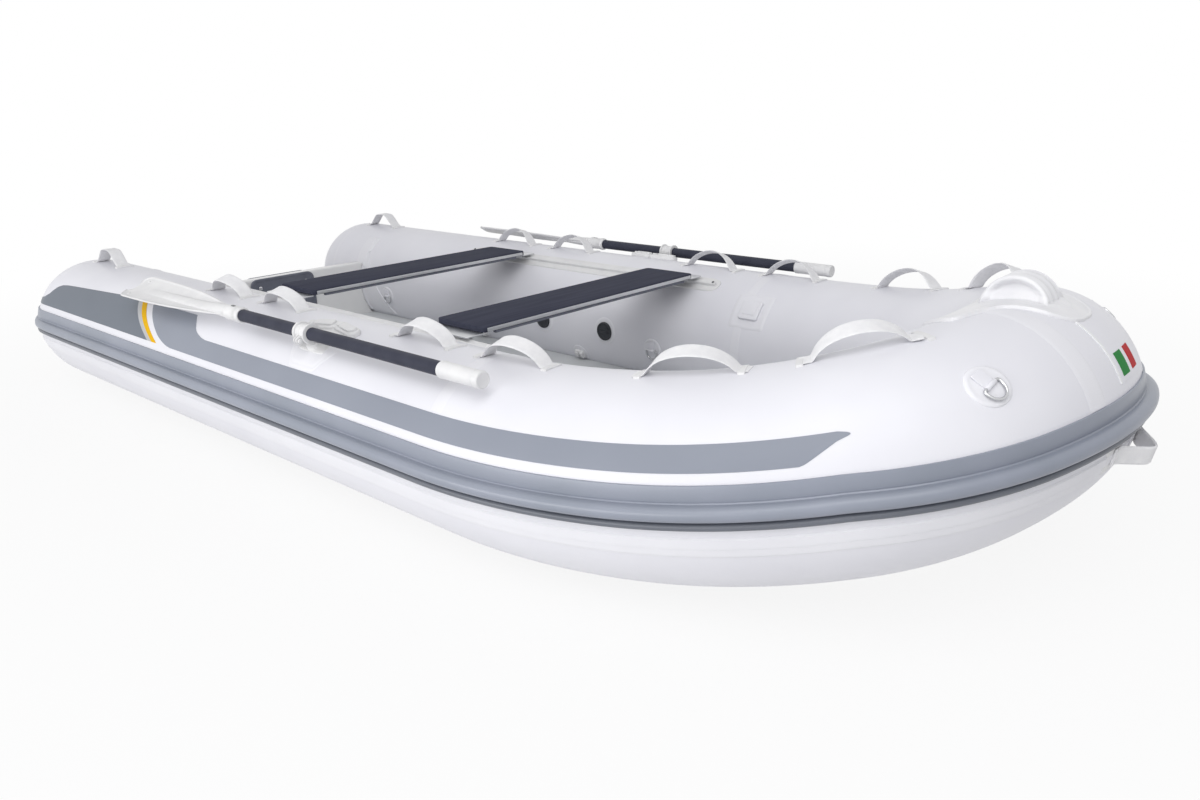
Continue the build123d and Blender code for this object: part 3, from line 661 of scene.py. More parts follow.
def buildStripes():
    s = stripes
    angles = np.linspace(s["bottom"], s["panelTop"], 48)
    share = (angles - s["bottom"]) / (s["panelTop"] - s["bottom"])
    line = slantedLine(angles, s["yellowTop"], s["yellowBottom"]) - 0.02 * np.sin(np.pi * share)  # bowed a little aft
    yellowStart, yellowEnd = line - s["yellow"] / 2, line + s["yellow"] / 2
    silverStart = yellowStart - s["silver"]
    gapEdge = yellowEnd + s["gap"] + roundCorner(angles, s["bottom"], *s["secondFoot"])
    second = slantedLine(angles, s["secondTop"], s["secondBottom"])
    second = second + roundCorner(angles, s["top"], *s["secondFillet"])
    tipAngles = [s["bottom"], 24.4, 36.0, 37.0, s["top"]]
    tipXs = [s["tipBottom"] - 0.006, s["tipBottom"] + 0.003, s["tipTop"], s["tipTop"] - 0.004, s["tipTop"] - 0.014]
    tip = np.interp(angles, tipAngles, distanceAt(tipXs))
    sternEdge = np.interp(angles, s["sternAngles"], [wrapStart] + s["sternStarts"])
    upper = angles >= s["top"]
    lower = np.linspace(s["bottom"], angles[upper][0], 24)
    for side, name in sideNames.items():
        tubePanel(name + "SternPanel", "darkPvc", (angles, sternEdge, silverStart), side, 90)
        tubePanel(name + "SilverLine", "silverPvc", (angles, silverStart, yellowStart), side, 6)
        tubePanel(name + "YellowLine", "yellowPvc", (angles, yellowStart, yellowEnd), side, 6)
        tubePanel(name + "SecondPanel", "greyPvc", (angles[upper], gapEdge[upper], second[upper]), side, 20)
        rows = (lower, np.interp(lower, angles, gapEdge), np.interp(lower, angles, tip))
        tubePanel(name + "LongStripe", "greyPvc", rows, side, 220)


badge = {"left": -0.036, "right": 0.094, "low": 23.5, "high": 61.5, "lift": 0.0014, "edge": 0.004, "edgeLift": 0.0024,
         "barLow": 26.0, "barHigh": 38.5, "barLift": 0.0020,
         "bars": [("greenPvc", -0.022, 0.008), ("redPvc", 0.024, 0.054)]}


def nosePanel(name, finish, low, high, left, right, lift):
    # cloth panel across the nose between two angles and two distances from the centre plane
    angle = np.linspace(low, high, 30)[:, None]
    y = np.linspace(left, right, 17)[None]
    makePiece(name, slabPart(acrossNose(y, angle, lift), acrossNose(y, angle, -sunk)), finish)


def buildBadge():
    # bare cloth strip down the nose, with two plain colour bars, and along its left edge a raised strip coloured whiter
    # than the cloth as a painted highlight on that edge
    b = badge
    nosePanel("noseStrip", "palePvc", b["low"], b["high"], b["left"], b["right"], b["lift"])
    # painted highlight: the left edge strip is a whiter cloth than the strip, standing in for light caught along that
    # raised edge
    nosePanel("noseStripHighlightEdge", "highlightPvc", b["low"], b["high"], b["left"] - b["edge"], b["left"], b["edgeLift"])
    for finish, left, right in b["bars"]:
        nosePanel(finish[:-3] + "Bar", finish, b["barLow"], b["barHigh"], left, right, b["barLift"])


seams = {
    "lift": 0.0009, "skin": 0.0001,
    "rings": [("DomeTape", 0.0, 0.016, 56, 252), ("CurveTape", distanceAt(0.640), 0.018, 38.5, 230),
              ("BowTape", distanceAt(1.647), 0.020, 18.4, 190)],  # distance, half width and the two end angles
    "under": [(-20.8, -14.6, 0.0016), (-15.6, -8.6, 0.0032)],   # two lapped tapes below the strake
    "underStart": -0.30,
    "transom": [(143, -1.419), (160, -1.372), (180, -1.318), (200, -1.262), (214, -1.228)],
}


def tapeHeight(count, lift, slope):
    # lift over the tape, falling to the skin over the slope's share of its half width
    return lift * np.clip((1 - np.abs(np.linspace(-1, 1, count))) / slope, 0, 1) + seams["skin"]


def buildSeams():
    for side, name in sideNames.items():
        for tape, distance, half, low, high in seams["rings"]:
            angle = np.linspace(low, high, 60)[:, None]
            d = np.linspace(-half, half, 9)[None] + distance
            makePiece(name + tape, sheetPart(d, angle, tapeHeight(9, seams["lift"], 0.2)[None], side), "seamPvc")
        for index, (low, high, lift) in enumerate(seams["under"]):
            angle = np.linspace(low, high, 9)[:, None]
            d = np.linspace(seams["underStart"], collarLength - 0.02, 260)[None]
            strip = sheetPart(d, angle, tapeHeight(9, lift, 0.06)[:, None], side)
            makePiece(f"{name}UnderTape{index + 1}", strip, "seamPvc")


# Carrying handles: webbing arches on glued feet

handles = {
    "angle": 91.0, "rise": 0.053, "width": 0.045, "thickness": 0.0030, "foot": 0.026, "gap": 0.0008, "lean": 20.0,
    "aft": [(-0.612, 0.178), (-0.288, 0.178), (0.385, 0.182)],       # x of the middle, and the span
    "forward": [(0.717, 0.182), (1.185, 0.205), (1.502, 0.190)],
    "stern": [(-1.530, 0.170)], "sternFlat": 0.060,
    "patch": (0.008, 0.032), "patchLift": 0.0046, "patchShift": 0.021, "sternPatchShift": 0.018,
}


def flatTopLine(end, rise, foot, flat):
    # from foot to foot over two sloping sides and a level top, its corners eased as webbing bends
    ease = 0.004
    side = [(-end - foot, 0), (-end - ease, 0), (-end + ease, ease), (-flat / 2 - 0.006, rise - ease),
            (-flat / 2 + 0.006, rise)]
    knots = np.array(side + [(-x, z) for x, z in side[::-1]])
    lengths = np.r_[0, np.cumsum(np.hypot(*np.diff(knots, axis=0).T))]
    share = np.linspace(0, 1, 60)
    line = np.stack([np.interp(share * lengths[-1], lengths, knots[:, i]) for i in (0, 1)], -1)
    return easeRow(line)


def archLine(end, rise, foot):
    # level feet on both sides of one circle's arc
    radius = (end ** 2 + rise ** 2) / (2 * rise)
    t = np.linspace(-1, 1, 49) * math.asin(end / radius)
    arch = np.stack([radius * np.sin(t), radius * np.cos(t) - radius + rise], -1)
    feet = np.stack([np.linspace(end + foot, end + 0.002, 7), np.zeros(7)], -1)
    return np.concatenate([feet * (-1, 1), arch[1:-1], feet[::-1]])


def strapPart(origin, along, normal, width, span, rise, foot, thickness, flat=0.0, lean=0.0):
    # rows follow the strap's line, columns cross its width with beaded edges; also the strap's own map
    line = flatTopLine(span / 2, rise, foot, flat) if flat else archLine(span / 2, rise, foot)
    across = np.cross(normal, along)
    direction = np.gradient(line, axis=0)
    direction /= np.linalg.norm(direction, axis=1)[:, None]
    square = np.stack([-direction[:, 1], direction[:, 0]], -1)
    share = np.linspace(-1, 1, 13)
    bead = 0.0006 * ridge(np.abs(share), 0.9, 0.08)
    edge = np.sqrt(np.clip(1 - ((np.abs(share) - 0.92) / 0.08).clip(0) ** 2, 0.02, 1))
    middle = line + square * thickness / 2

    def layer(sign):
        offset = sign * (thickness / 2 * edge + bead)
        flatPoints = middle[:, None] + square[:, None] * offset[None, :, None]
        height = flatPoints[..., 1:2]
        tilt = math.radians(lean) * np.clip(height / rise, 0, 1)  # the arch leans more the higher it is
        return (origin + flatPoints[..., 0:1] * along + height * (normal * np.cos(tilt) + across * np.sin(tilt))
                + (share * width / 2)[None, :, None] * (across * np.cos(tilt) - normal * np.sin(tilt)))

    travelled = np.r_[0, np.cumsum(np.linalg.norm(np.diff(line, axis=0), axis=1))]
    u, v = np.meshgrid(travelled, share * width / 2, indexing="ij")
    chart = np.stack([u, v, 0 * u], -1).reshape(-1, 3)
    return slabPart(layer(1), layer(-1)), np.concatenate([chart] * 2)


def chordPlace(x, angle, span, side):
    # on the skin between two feet: the middle, the line from foot to foot, and out
    slant = collarFrames(np.array([distanceAt(x)]))[1][0][0]
    back, front = [distanceAt(x + sign * span / 2 * slant) for sign in (-1, 1)]
    first, last = onTube(back, angle, 0, side), onTube(front, angle, 0, side)
    along = (last - first) / np.linalg.norm(last - first)
    normal = tubeAxes(back, angle, side)[2] + tubeAxes(front, angle, side)[2]
    normal -= along * (normal @ along)
    normal /= np.linalg.norm(normal)
    return (first + last) / 2 + normal * handles["gap"], along, normal, back, front


def roundedGrid(halfLength, halfWidth, roundness, count=33):
    # square grid drawn in at its corners: each side shrinks by a share of 1 - sqrt(1 - other^2 / 2)
    u, v = np.meshgrid(np.linspace(-1, 1, count), np.linspace(-1, 1, count), indexing="ij")
    x = halfLength * u * (1 - roundness * (1 - np.sqrt(1 - v ** 2 / 2)))
    y = halfWidth * v * (1 - roundness * (1 - np.sqrt(1 - u ** 2 / 2)))
    edge = 1 - np.maximum(np.abs(u), np.abs(v))
    return x, y, v, edge


def patchPart(distance, angle, halfLength, halfWidth, roundness, lift, side, rim=0.0):
    # cloth patch on the skin, its edge falling to the tube, with a raised rim where asked
    x, y, _, edge = roundedGrid(halfLength, halfWidth, roundness)
    d = distance + x / skinStretch(distance, angle, side)
    a = angle + y * degreesPerMetre
    height = lift * roundedEdge(edge, 0.10) + rim * ridge(edge, 0.14, 0.07)
    return sheetPart(d, a, height, side)


def handleRow(side, name, feetName, replaced, places, patchShift, flat, lean):
    h = handles
    straps, charts, feet = [], [], []
    for x, span in places:
        origin, along, normal, back, front = chordPlace(x, h["angle"], span, side)
        strap, chart = strapPart(origin, along, normal, h["width"], span, h["rise"], h["foot"], h["thickness"],
                                 flat, lean * side)
        straps.append(strap)
        charts.append(chart)
        for distance in (back - patchShift, front + patchShift):
            feet.append(patchPart(distance, h["angle"], *h["patch"], 0.06, h["patchLift"], side))
    makePiece(name, straps, "webbing", replaced, strapMap=np.concatenate(charts))
    makePiece(feetName, feet, "whitePlastic")


def buildHandles():
    h = handles
    for side, name in sideNames.items():
        for row in ("aft", "forward"):
            label = name + row.capitalize() + "Handle"
            handleRow(side, label + "s", label + "Feet", f"{name}_handles_{row}", h[row], h["patchShift"],
                      0.0, h["lean"])
        handleRow(side, name + "SternHandleStrap", name + "SternHandleFeet", name + "_stern_handle", h["stern"],
                  h["sternPatchShift"], h["sternFlat"], 0.0)


# Oars: blade, neck collar, sleeved shaft and grip in line above the tube

oar = {
    "x": 0.075, "angle": 58.0, "lift": 0.047,   # the pin's place, and the shaft's height over the skin
    "shaftRadius": 0.0175, "front": 0.560, "back": -0.330, "gripRadius": 0.0210, "gripGap": 0.0003,
    "neck": 0.075, "neckRadius": 0.0235, "slot": (0.020, 0.0085), "slotDepth": 0.0034,
    "blade": 0.638, "tipHalf": 0.0610, "bladeTurn": 12.0, "rootHalf": 0.0205, "tipCorner": 0.028,
    "sheet": 0.0036, "dish": 0.0085, "rim": 0.0022, "spine": 0.0065, "rivets": (0.955, 0.62),
}


def turnedAxes(first, second, degrees):
    # two axes turned by an angle in their own plane
    c, s = math.cos(math.radians(degrees)), math.sin(math.radians(degrees))
    return first * c + second * s, second * c - first * s


def bladeParts(side):
    # half width tip (0.25 + 0.75 (1 - (1 - u)^2.6)) drawn in by a quarter circle at the tip's corners;
    # the sheet is dished by 1 - v^2, beaded at its edge, and swells into a round socket at the neck
    o = oar
    pin, along, around, normal = tubePlace(o["x"], o["angle"], side, o["lift"])
    normal, around = turnedAxes(normal, around, o["bladeTurn"])
    length, corner = o["blade"], o["tipCorner"]
    u = np.concatenate([np.linspace(0, 1 - corner / length, 110)[:-1],
                        1 - corner / length * (1 - np.sin(np.linspace(0, np.pi / 2, 14)))])
    v = np.sin(np.linspace(-np.pi / 2, np.pi / 2, 61))[None]
    half = o["tipHalf"] * (0.25 + 0.75 * (1 - (1 - u) ** 2.6))
    tail = np.clip((u * length - (length - corner)) / corner, 0, 1)
    half = (half - corner * (1 - np.sqrt(np.clip(1 - tail ** 2, 0, 1))))[:, None]
    u = u[:, None]
    across = v * half
    bulge = np.sqrt(np.clip(1 - (across / (o["rootHalf"] * (1 - 0.45 * u))) ** 2, 0, 1))
    socket = (o["rootHalf"] - 0.003) * (1 - smoothStep(u, 0.0, 0.26))
    spine = o["spine"] * smoothStep(u, 0, 0.2) * (1 - smoothStep(u, 0.45, 0.92))
    swell = (socket + spine) * bulge
    dish = o["dish"] * smoothStep(u, 0.05, 0.40) * (np.abs(v) ** 2.2 - 0.62)
    edge = half * (1 - np.abs(v))
    rim = o["rim"] * ridge(edge, 0.004, 0.003) * smoothStep(u, 0.06, 0.2)
    sheet = o["sheet"] / 2 * roundedEdge(edge, 0.0018, 0.05)
    start = o["back"] - o["neck"]

    def place(height):
        return pin + (start - u * length)[..., None] * along + across[..., None] * around + height[..., None] * normal

    parts = [slabPart(place(dish + swell + rim + sheet), place(dish - swell * 0.8 - rim * 0.6 - sheet))]
    station, reach = o["rivets"]
    for share in (-reach, reach):
        spot = pin + (start - station * length) * along + share * o["tipHalf"] * around
        height = o["dish"] * (abs(share) ** 2.2 - 0.62) + o["sheet"] / 2
        parts.append(lathePart(spot + (height - 0.0004) * normal, normal,
                               [(0, 0.0052), (0.0012, 0.0050), (0.0022, 0.0036), (0.0026, 0)], 20))
    return parts


def buildOars():
    o = oar
    start, r, g = o["back"] - o["neck"], o["neckRadius"], o["gripRadius"]
    neck = [(-0.004, 0), (-0.004, 0.0200), (0, 0.0212), (0.004, 0.0212), (0.006, r), (0.011, r), (0.013, r - 0.0016),
            (0.058, r - 0.0016), (0.060, r), (0.069, r), (0.0715, r - 0.0010), (0.0745, 0.0195), (0.0747, 0)]
    neck = [(start + s, radius) for s, radius in neck]
    shaft = [(o["back"] - 0.0001, 0), (o["back"], o["shaftRadius"]), (o["front"], o["shaftRadius"]),
             (o["front"] + 0.0001, 0)]
    grip = [(0, g), (0, 0.0030), (0.0010, 0.0012), (0.0030, 0), (0.0120, 0), (0.0130, 0.0007), (0.1190, 0.0009),
            (0.1200, 0.0019), (0.1210, 0.0019), (0.1220, 0.0004), (0.1345, 0), (0.1382, 0.0014), (0.1396, 0.0040),
            (0.1390, 0.0052), (0.1386, 0.0060), (0.1386, g)]  # distance, and how far inside the grip's radius
    grip = [(o["front"] + o["gripGap"] + s, g - inset) for s, inset in grip]
    for side, name in sideNames.items():
        body = name + "_oar"
        pin, along, around, normal = tubePlace(o["x"], o["angle"], side, o["lift"])
        makePiece(name + "OarBlade", bladeParts(side), "whitePlastic", name + "_oar_blade", body, 50.0)
        makePiece(name + "OarNeck", lathePart(pin, along, neck, 48), "whitePlastic", name + "_oar_neck", body, 40.0)
        # painted shade: the button slot is drawn as a dark oval sheet, barely proud of the neck, not as a hollow; its
        # dark stands for the slot's shade
        lean = around * 0.5 + normal * 0.866  # the neck's button slot, a dark oval, looks up and inboard
        spot = pin + (start + 0.026) * along + lean * (r - o["slotDepth"])
        slot = blockPart(spot, (along, np.cross(lean, along), lean), o["slot"], 0.0042, 0, 0.0022, 0.0004)
        makePiece(name + "NeckSlotShade", slot, "blackRubberAndShade", None, body)
        makePiece(name + "OarShaft", lathePart(pin, along, shaft, 56), "shaft", name + "_oar_shaft", body, 40.0)
        makePiece(name + "OarGrip", lathePart(pin, along, grip, 56), "whitePlastic", name + "_oar_grip", body, 30.0)


oarlock = {
    "ring": 0.0225, "flange": 0.0275, "half": 0.026, "running": 0.00005,
    "pinRadius": 0.012, "pinFoot": 0.0075, "bossTop": 0.018, "bossRadius": 0.023,
    "plate": (0.060, 0.058), "plateLift": 0.0066, "plateShift": 0.030, "patch": (0.105, 0.078), "patchLift": 0.0030,
    "caps": [(-0.060, 0.068, 14.0), (0.046, 0.074, -10.0)],  # ahead of the pin, inboard of it, and turned by
    "cap": (0.112, 0.040), "wing": (0.070, 0.026), "capTop": 0.0205,
}


def clampParts(pin, along, around, normal):
    # ring with a flange at each end, the pin under it, and the split clamp's two ears with their bolt
    k = oarlock
    half, ring, flange = k["half"], k["ring"], k["flange"]
    bore, lip = oar["shaftRadius"] + k["running"], k["half"] - 0.0065
    fore = [(0.0025, ring - 0.0008), (0.0030, ring), (lip - 0.0005, ring), (lip, flange - 0.001), (lip + 0.001, flange),
            (half - 0.001, flange), (half, flange - 0.001), (half, bore)]
    parts = [ringPart(pin, along, [(-s, radius) for s, radius in fore[::-1]] + fore, 56)]
    root, foot, r = oar["shaftRadius"] * 0.6, oar["lift"] - k["pinFoot"], k["pinRadius"]
    parts.append(lathePart(pin, -normal, [(root, 0), (root, r), (0.0230, 0.0140), (0.0275, 0.0140), (0.0287, r),
                                          (foot - 0.001, r), (foot, r - 0.001), (foot, 0)], 40))
    for shift in (-0.0073, 0.0031):
        ear = pin - around * (ring + 0.006) + along * shift
        parts.append(blockPart(ear, (around, np.cross(along, around), along), (0.024, 0.022), 0.008, 0, 0.0042, 0.0008))
    bolt = [(-0.0125, 0), (-0.0125, 0.0052), (-0.0082, 0.0058), (-0.0074, 0.0030), (0.0074, 0.0030), (0.0082, 0.0062),
            (0.0125, 0.0056), (0.0135, 0.0030), (0.0135, 0)]
    return parts + [lathePart(pin - around * (ring + 0.0090), along, bolt, 20)]


def coverParts(spot, axes):
    # folding cover inboard of the ring: a body, a raised wing and a round hinge
    top, ahead, normal = oarlock["capTop"], axes[0], axes[2]
    hinge = [(0.010, 0), (0.010, 0.011), (top - 0.003, 0.0105), (top - 0.001, 0.0085), (top - 0.001, 0)]
    return [blockPart(spot - normal * 0.003, axes, oarlock["cap"], 0.018, 0, top - 0.0035, 0.005),
            blockPart(spot + ahead * 0.012, axes, oarlock["wing"], 0.009, 0.010, top, 0.0022),
            lathePart(spot - ahead * 0.036, normal, hinge, 28)]


def buildOarlocks():
    k, o = oarlock, oar
    r, top, inner = k["bossRadius"], k["bossTop"], k["pinRadius"] + k["running"]
    boss = [(0.0030, inner), (0.0030, r + 0.003), (0.0074, r + 0.0018), (0.0090, r), (top - 0.0030, r),
            (top - 0.0009, r - 0.0009), (top, r - 0.003), (top, inner + 0.0012), (top - 0.0012, inner)]
    distance = stationAt(o["x"])
    for side, name in sideNames.items():
        pin, along, around, normal = tubePlace(o["x"], o["angle"], side, o["lift"])
        makePiece(name + "OarlockClamp", clampParts(pin, along, around, normal), "whitePlastic", name + "_oarlock",
                  name + "_oar")
        base = [patchPart(distance, o["angle"] + k["plateShift"] * degreesPerMetre, *k["plate"], 0.16, k["plateLift"],
                          side), ringPart(pin - normal * o["lift"], normal, boss, 48)]
        for forward, inboard, turn in k["caps"]:
            spot, *axes = tubePlace(o["x"] + forward, o["angle"] + inboard * degreesPerMetre, side)
            base += coverParts(spot, (*turnedAxes(axes[0], axes[1], turn), axes[2]))
        makePiece(name + "OarlockBase", base, "whitePlastic", name + "_oarlock_base")
        patch = pointedPatch(distance, o["angle"], *k["patch"], k["patchLift"], side)
        makePiece(name + "OarlockPatch", patch, "seamPvc", name + "_oarlock_patch", sharp=60.0)


def pointedPatch(distance, angle, halfLength, halfWidth, lift, side):
    # cloth patch whose two ends come to blunt points: length drawn in by 0.45 |v|
    x, y, v, edge = roundedGrid(halfLength, halfWidth, 0.12, 41)
    d = distance + x * (1 - 0.45 * np.abs(v))
    height = lift * (0.45 + 0.55 * smoothStep(edge, 0.18, 0.24)) * roundedEdge(edge, 0.05, 0.02)
    a = angle + y * degreesPerMetre
    return sheetPart(d, a, height, side, seated)


# Thwart boards on their frames, and the tracks that carry them

thwart = {
    "places": {"aft": -0.496, "forward": 0.322}, "length": 0.920, "width": 0.196, "thickness": 0.016, "corner": 0.014,
    # the bars are coloured dark as painted shade under the board's edges
    "bar": (0.012, 0.0075), "barInset": 0.001, "barSetback": 0.030,  # width and depth of the bars under the edges
    "bracket": 0.004, "bracketLength": 0.060, "bracketInset": 0.010, "bracketOver": 0.008,
    "hook": (0.026, 0.004), "hookStep": 0.052, "hookInset": 0.0225, "hookDepth": 0.0185, "hookHeight": 0.0160,
    "edging": 0.0026, "edgingFoot": 0.0015, "edgingGap": 0.0002, "glue": 0.0003,
}
rail = {"angle": 121.0, "start": -0.760, "end": 0.500, "foot": 0.064, "footLift": 0.0030, "seatWidth": 0.028,
        "width": 0.0155, "rise": 0.0108, "point": 0.055, "barStart": 0.012, "screw": 0.022}


def railHeights():
    # height of the seat's highest edge and its reach from the centre plane; the seat is wider than the drawn bar
    crown = collar["radius"] + thwart["glue"] + rail["footLift"]
    half = rail["seatWidth"] / 2 / crown
    top = crown + rail["rise"]
    peak = collar["height"] + top * math.sin(math.radians(rail["angle"]) - half)
    reach = collar["halfSpacing"] + top * math.cos(math.radians(rail["angle"]))
    return peak, reach


def buildThwarts():
    t = thwart
    axes = np.eye(3)
    peak, reach = railHeights()
    bracketTop = peak + t["glue"] + t["bracket"]
    foot = bracketTop + t["glue"]
    barWidth, barDepth = t["bar"]
    barY = t["width"] / 2 - barWidth / 2 - t["barInset"]
    innerLength = t["length"] - 2 * t["corner"]
    for name, x in t["places"].items():
        board = blockPart((x, 0, foot), axes, (t["width"], t["length"]), t["corner"], 0, t["thickness"], 0.0028)
        makePiece(name + "ThwartBoard", board, "board", name + "_thwart", sharp=50.0)
        frameParts, bars, edging = [], [], []
        for side in (-1, 1):
            bars.append(blockPart((x + side * barY, 0, foot - barDepth), axes,
                                  (barWidth, innerLength - 2 * t["barSetback"]), 0.002, 0, barDepth, 0.0012))
            spot = (x, side * (reach - t["bracketInset"]), bracketTop - t["bracket"])
            frameParts.append(blockPart(spot, axes, (2 * barY + t["bracketOver"], t["bracketLength"]), 0.006,
                                        0, t["bracket"], 0.0008))
            for step in (-1, 1):  # hooks that grip the track's inboard lip
                spot = (x + step * t["hookStep"], side * (reach - t["hookInset"]), bracketTop - t["hookDepth"])
                frameParts.append(blockPart(spot, axes, t["hook"], 0.0018, 0, t["hookHeight"], 0.0008))
            # edging let into the board's two long edges, just under its top
            spot = (x + side * (t["width"] / 2 + t["edgingGap"]), 0, foot + t["edgingFoot"])
            edging.append(blockPart(spot, axes, (t["edging"], innerLength), 0.0008, 0, t["thickness"] - 0.0055, 0.0006))
        makePiece(name + "ThwartFrame", frameParts, "aluminium", name + "_thwart_frame")
        # painted shade: the bars take the dark plate finish so that they read as the dark line of shade under the
        # board's edge
        makePiece(name + "ThwartBars", bars, "darkPlateAndShade")
        makePiece(name + "ThwartEdging", edging, "aluminium")


def buildRails():
    r = rail
    start, end = stationAt(r["start"]), stationAt(r["end"])
    d = np.linspace(start, end, 200)[:, None]
    # the foot's width falls to blunt points at both ends, as the root of the share left
    left = np.clip(np.minimum(d - start, end - d) / r["point"], 0, 1)
    footHalf = r["foot"] / 2 * (0.30 + 0.70 * np.sqrt(np.clip(1 - (1 - left) ** 2, 0, 1)))
    share = np.linspace(-1, 1, 33)[None]
    inset = 1 - np.abs(share)
    height = r["footLift"] * roundedEdge(inset, 0.08, 0.01) + 0.0006 * ridge(inset, 0.12, 0.05)
    half = r["width"] / 2
    base, top = r["footLift"] - 0.0008, r["footLift"] + r["rise"]
    section = [(-half, base), (-half, top - 0.0030), (-half + 0.0010, top - 0.0010), (-half + 0.0030, top)]
    across, lift = np.array(section + [(-y, z) for y, z in section[::-1]]).T[:, None]
    # the bar's ends are half rounds in plan: its width falls as the root of 1 - (1 - s)^2 over the last half width
    barStart, barEnd = start + r["barStart"], end - r["barStart"]
    rounding = half * (1 - np.cos(np.linspace(0.15, np.pi / 2, 9)[:-1]))
    run = np.concatenate([barStart + rounding, np.linspace(barStart + half, barEnd - half, 60),
                          barEnd - rounding[::-1]])[:, None]
    tail = np.clip(np.minimum(run - barStart, barEnd - run) / half, 0, 1)
    narrow = np.sqrt(1 - (1 - tail) ** 2)
    screw = [(-0.001, 0), (-0.001, 0.0048), (0.0008, 0.0046), (0.0014, 0.0032), (0.0016, 0)]
    footAngle = r["angle"] + share * footHalf * degreesPerMetre
    for side, name in sideNames.items():
        foot = sheetPart(d, footAngle, height, side, seated)
        bar = loftPart(onTube(run, r["angle"] + across * narrow * degreesPerMetre, lift, side))
        makePiece(name + "SeatRail", [foot, bar], "whitePlastic", name + "_seat_rail")
        spots = [tubePlace(x, r["angle"], side, top - 0.0004) for x in (r["start"] + r["screw"], r["end"] - r["screw"])]
        makePiece(name + "RailScrews", [lathePart(spot, normal, screw, 20) for spot, along, around, normal in spots],
                  "blackRubberAndShade")


# Bow saddle: half wheel with a double rim over two dished faces, on a beaded skirt

saddle = {
    "x": 1.640, "half": 0.042, "span": 0.145, "rise": 0.052, "foot": 0.034, "seat": 0.0036,
    "dish": 0.017, "rimWidth": 0.012, "rimBead": 0.0016, "flare": 0.010, "groove": 0.0042, "ridges": (0.043, 0.016),
    "skirt": 0.0044, "bead": 0.0028, "fold": 0.0022,
    # angle and half width of the bell-shaped skirt, from its tongue up
    "bell": [(59.5, 0.020), (60.2, 0.034), (61.5, 0.042), (66.0, 0.056), (71.5, 0.069), (79.0, 0.079), (85.5, 0.089),
             (91.5, 0.104), (94.7, 0.127), (95.8, 0.159), (96.8, 0.190), (98.5, 0.203), (102.0, 0.210),
             (112.0, 0.208), (122.0, 0.196), (126.5, 0.182), (128.0, 0.160)],
}


def buildSaddleWheel():
    s = saddle
    nose = np.array(collar["nose"])
    tubeTop = nose[2] + collar["radius"]
    sagitta = s["rise"] + s["foot"]
    radius = ((s["span"] / 2) ** 2 + sagitta ** 2) / (2 * sagitta)
    hub = np.array([s["x"], 0, tubeTop + s["rise"] - radius])
    seat = collar["radius"] + s["seat"]
    # each ray from the hub runs from the skirt to the rim: r = -d.u + sqrt((d.u)^2 - |d|^2 + seat^2)
    t = np.radians(np.linspace(9.5, 179.0, 90))
    ray = np.stack([np.cos(t), np.sin(t)], -1)
    apart = (hub - nose)[[0, 2]]
    dot = ray @ apart
    inner = np.minimum(-dot + np.sqrt(dot ** 2 - apart @ apart + seat ** 2), radius - 0.0015)[:, None]
    r = inner + (radius - inner) * (1 - (1 - np.linspace(0, 1, 26)[None]) ** 1.6)
    edge = radius - r
    height = hub[2] + r * ray[:, 1:2] - tubeTop
    hollow = s["dish"] * smoothStep(edge, s["rimWidth"] - 0.003, s["rimWidth"] + 0.010)
    hollow = hollow * (0.30 + 0.70 * smoothStep(height, 0.006, 0.034))
    bead = s["rimBead"] * ridge(edge, 0.006, 0.0035)
    flare = s["flare"] * (1 - smoothStep(height, -0.004, 0.016))
    y = s["half"] - hollow + bead + flare - 0.0025 * np.clip(1 - edge / 0.003, 0, 1) ** 2
    # the rim between the faces has ridges, each a bell curve over the width
    over = np.linspace(1, -1, 41)[1:-1] * (s["half"] - 0.0025)
    ridges = sum(ridge(np.abs(over), place, 0.006) for place in s["ridges"])
    crest = radius - s["groove"] + s["groove"] * np.clip(ridges, 0, 1) + 0 * t[:, None]
    ringR = np.concatenate([r, crest, r[:, ::-1]], 1)
    ringY = np.concatenate([-y, -over + 0 * t[:, None], y[:, ::-1]], 1)
    grid = np.stack([hub[0] + ringR * ray[:, 0:1], ringY, hub[2] + ringR * ray[:, 1:2]], -1)
    makePiece("bowSaddleWheel", loftPart(grid), "saddlePlastic", "bow_saddle_arch", sharp=60.0)


def buildSaddleSkirt():
    # rows between the two edges of the bell; lift and bead follow the distance to the outline
    s = saddle
    bell = np.array(s["bell"])
    angle = np.concatenate([np.linspace(bell[0, 0], 93, 60)[:-1], np.linspace(93, 99, 50)[:-1],
                            np.linspace(99, bell[-1, 0], 40)])
    reach = easeRow(np.interp(angle, bell[:, 0], bell[:, 1]))
    rim = np.stack([reach, angle / degreesPerMetre], -1)
    rim = np.concatenate([rim, rim[::-1] * (-1, 1), rim[:1]])
    angle, reach = angle[:, None], reach[:, None]
    share = np.linspace(-1, 1, 81)[None]
    y = share * reach
    flat = np.stack([y, angle / degreesPerMetre + 0 * share], -1)[:, :, None]
    start, step = rim[:-1], np.diff(rim, axis=0)
    along = np.clip(((flat - start) * step).sum(-1) / (step * step).sum(-1), 0, 1)
    edge = np.linalg.norm(start + along[..., None] * step - flat, axis=-1).min(-1)
    lift = s["skirt"] * roundedEdge(edge, 0.003, 0.01) + s["bead"] * ridge(edge, 0.0035, 0.0028)
    fold = s["fold"] * ridge(angle - 70, 26 * np.abs(share) ** 1.5, 2.2) * smoothStep(edge, 0.004, 0.02)
    makePiece("bowSaddleSkirt", slabPart(acrossNose(y, angle, lift + fold), acrossNose(y, angle, -seated)),
              "saddlePlastic", "bow_saddle_skirt", sharp=60.0)


# Tow handle across the stem

towHandle = {"angle": -12.0, "span": 0.150, "rise": 0.052, "width": 0.042, "flat": 0.018, "thickness": 0.0052,
             "patch": (0.034, 0.034), "patchShift": 0.014}


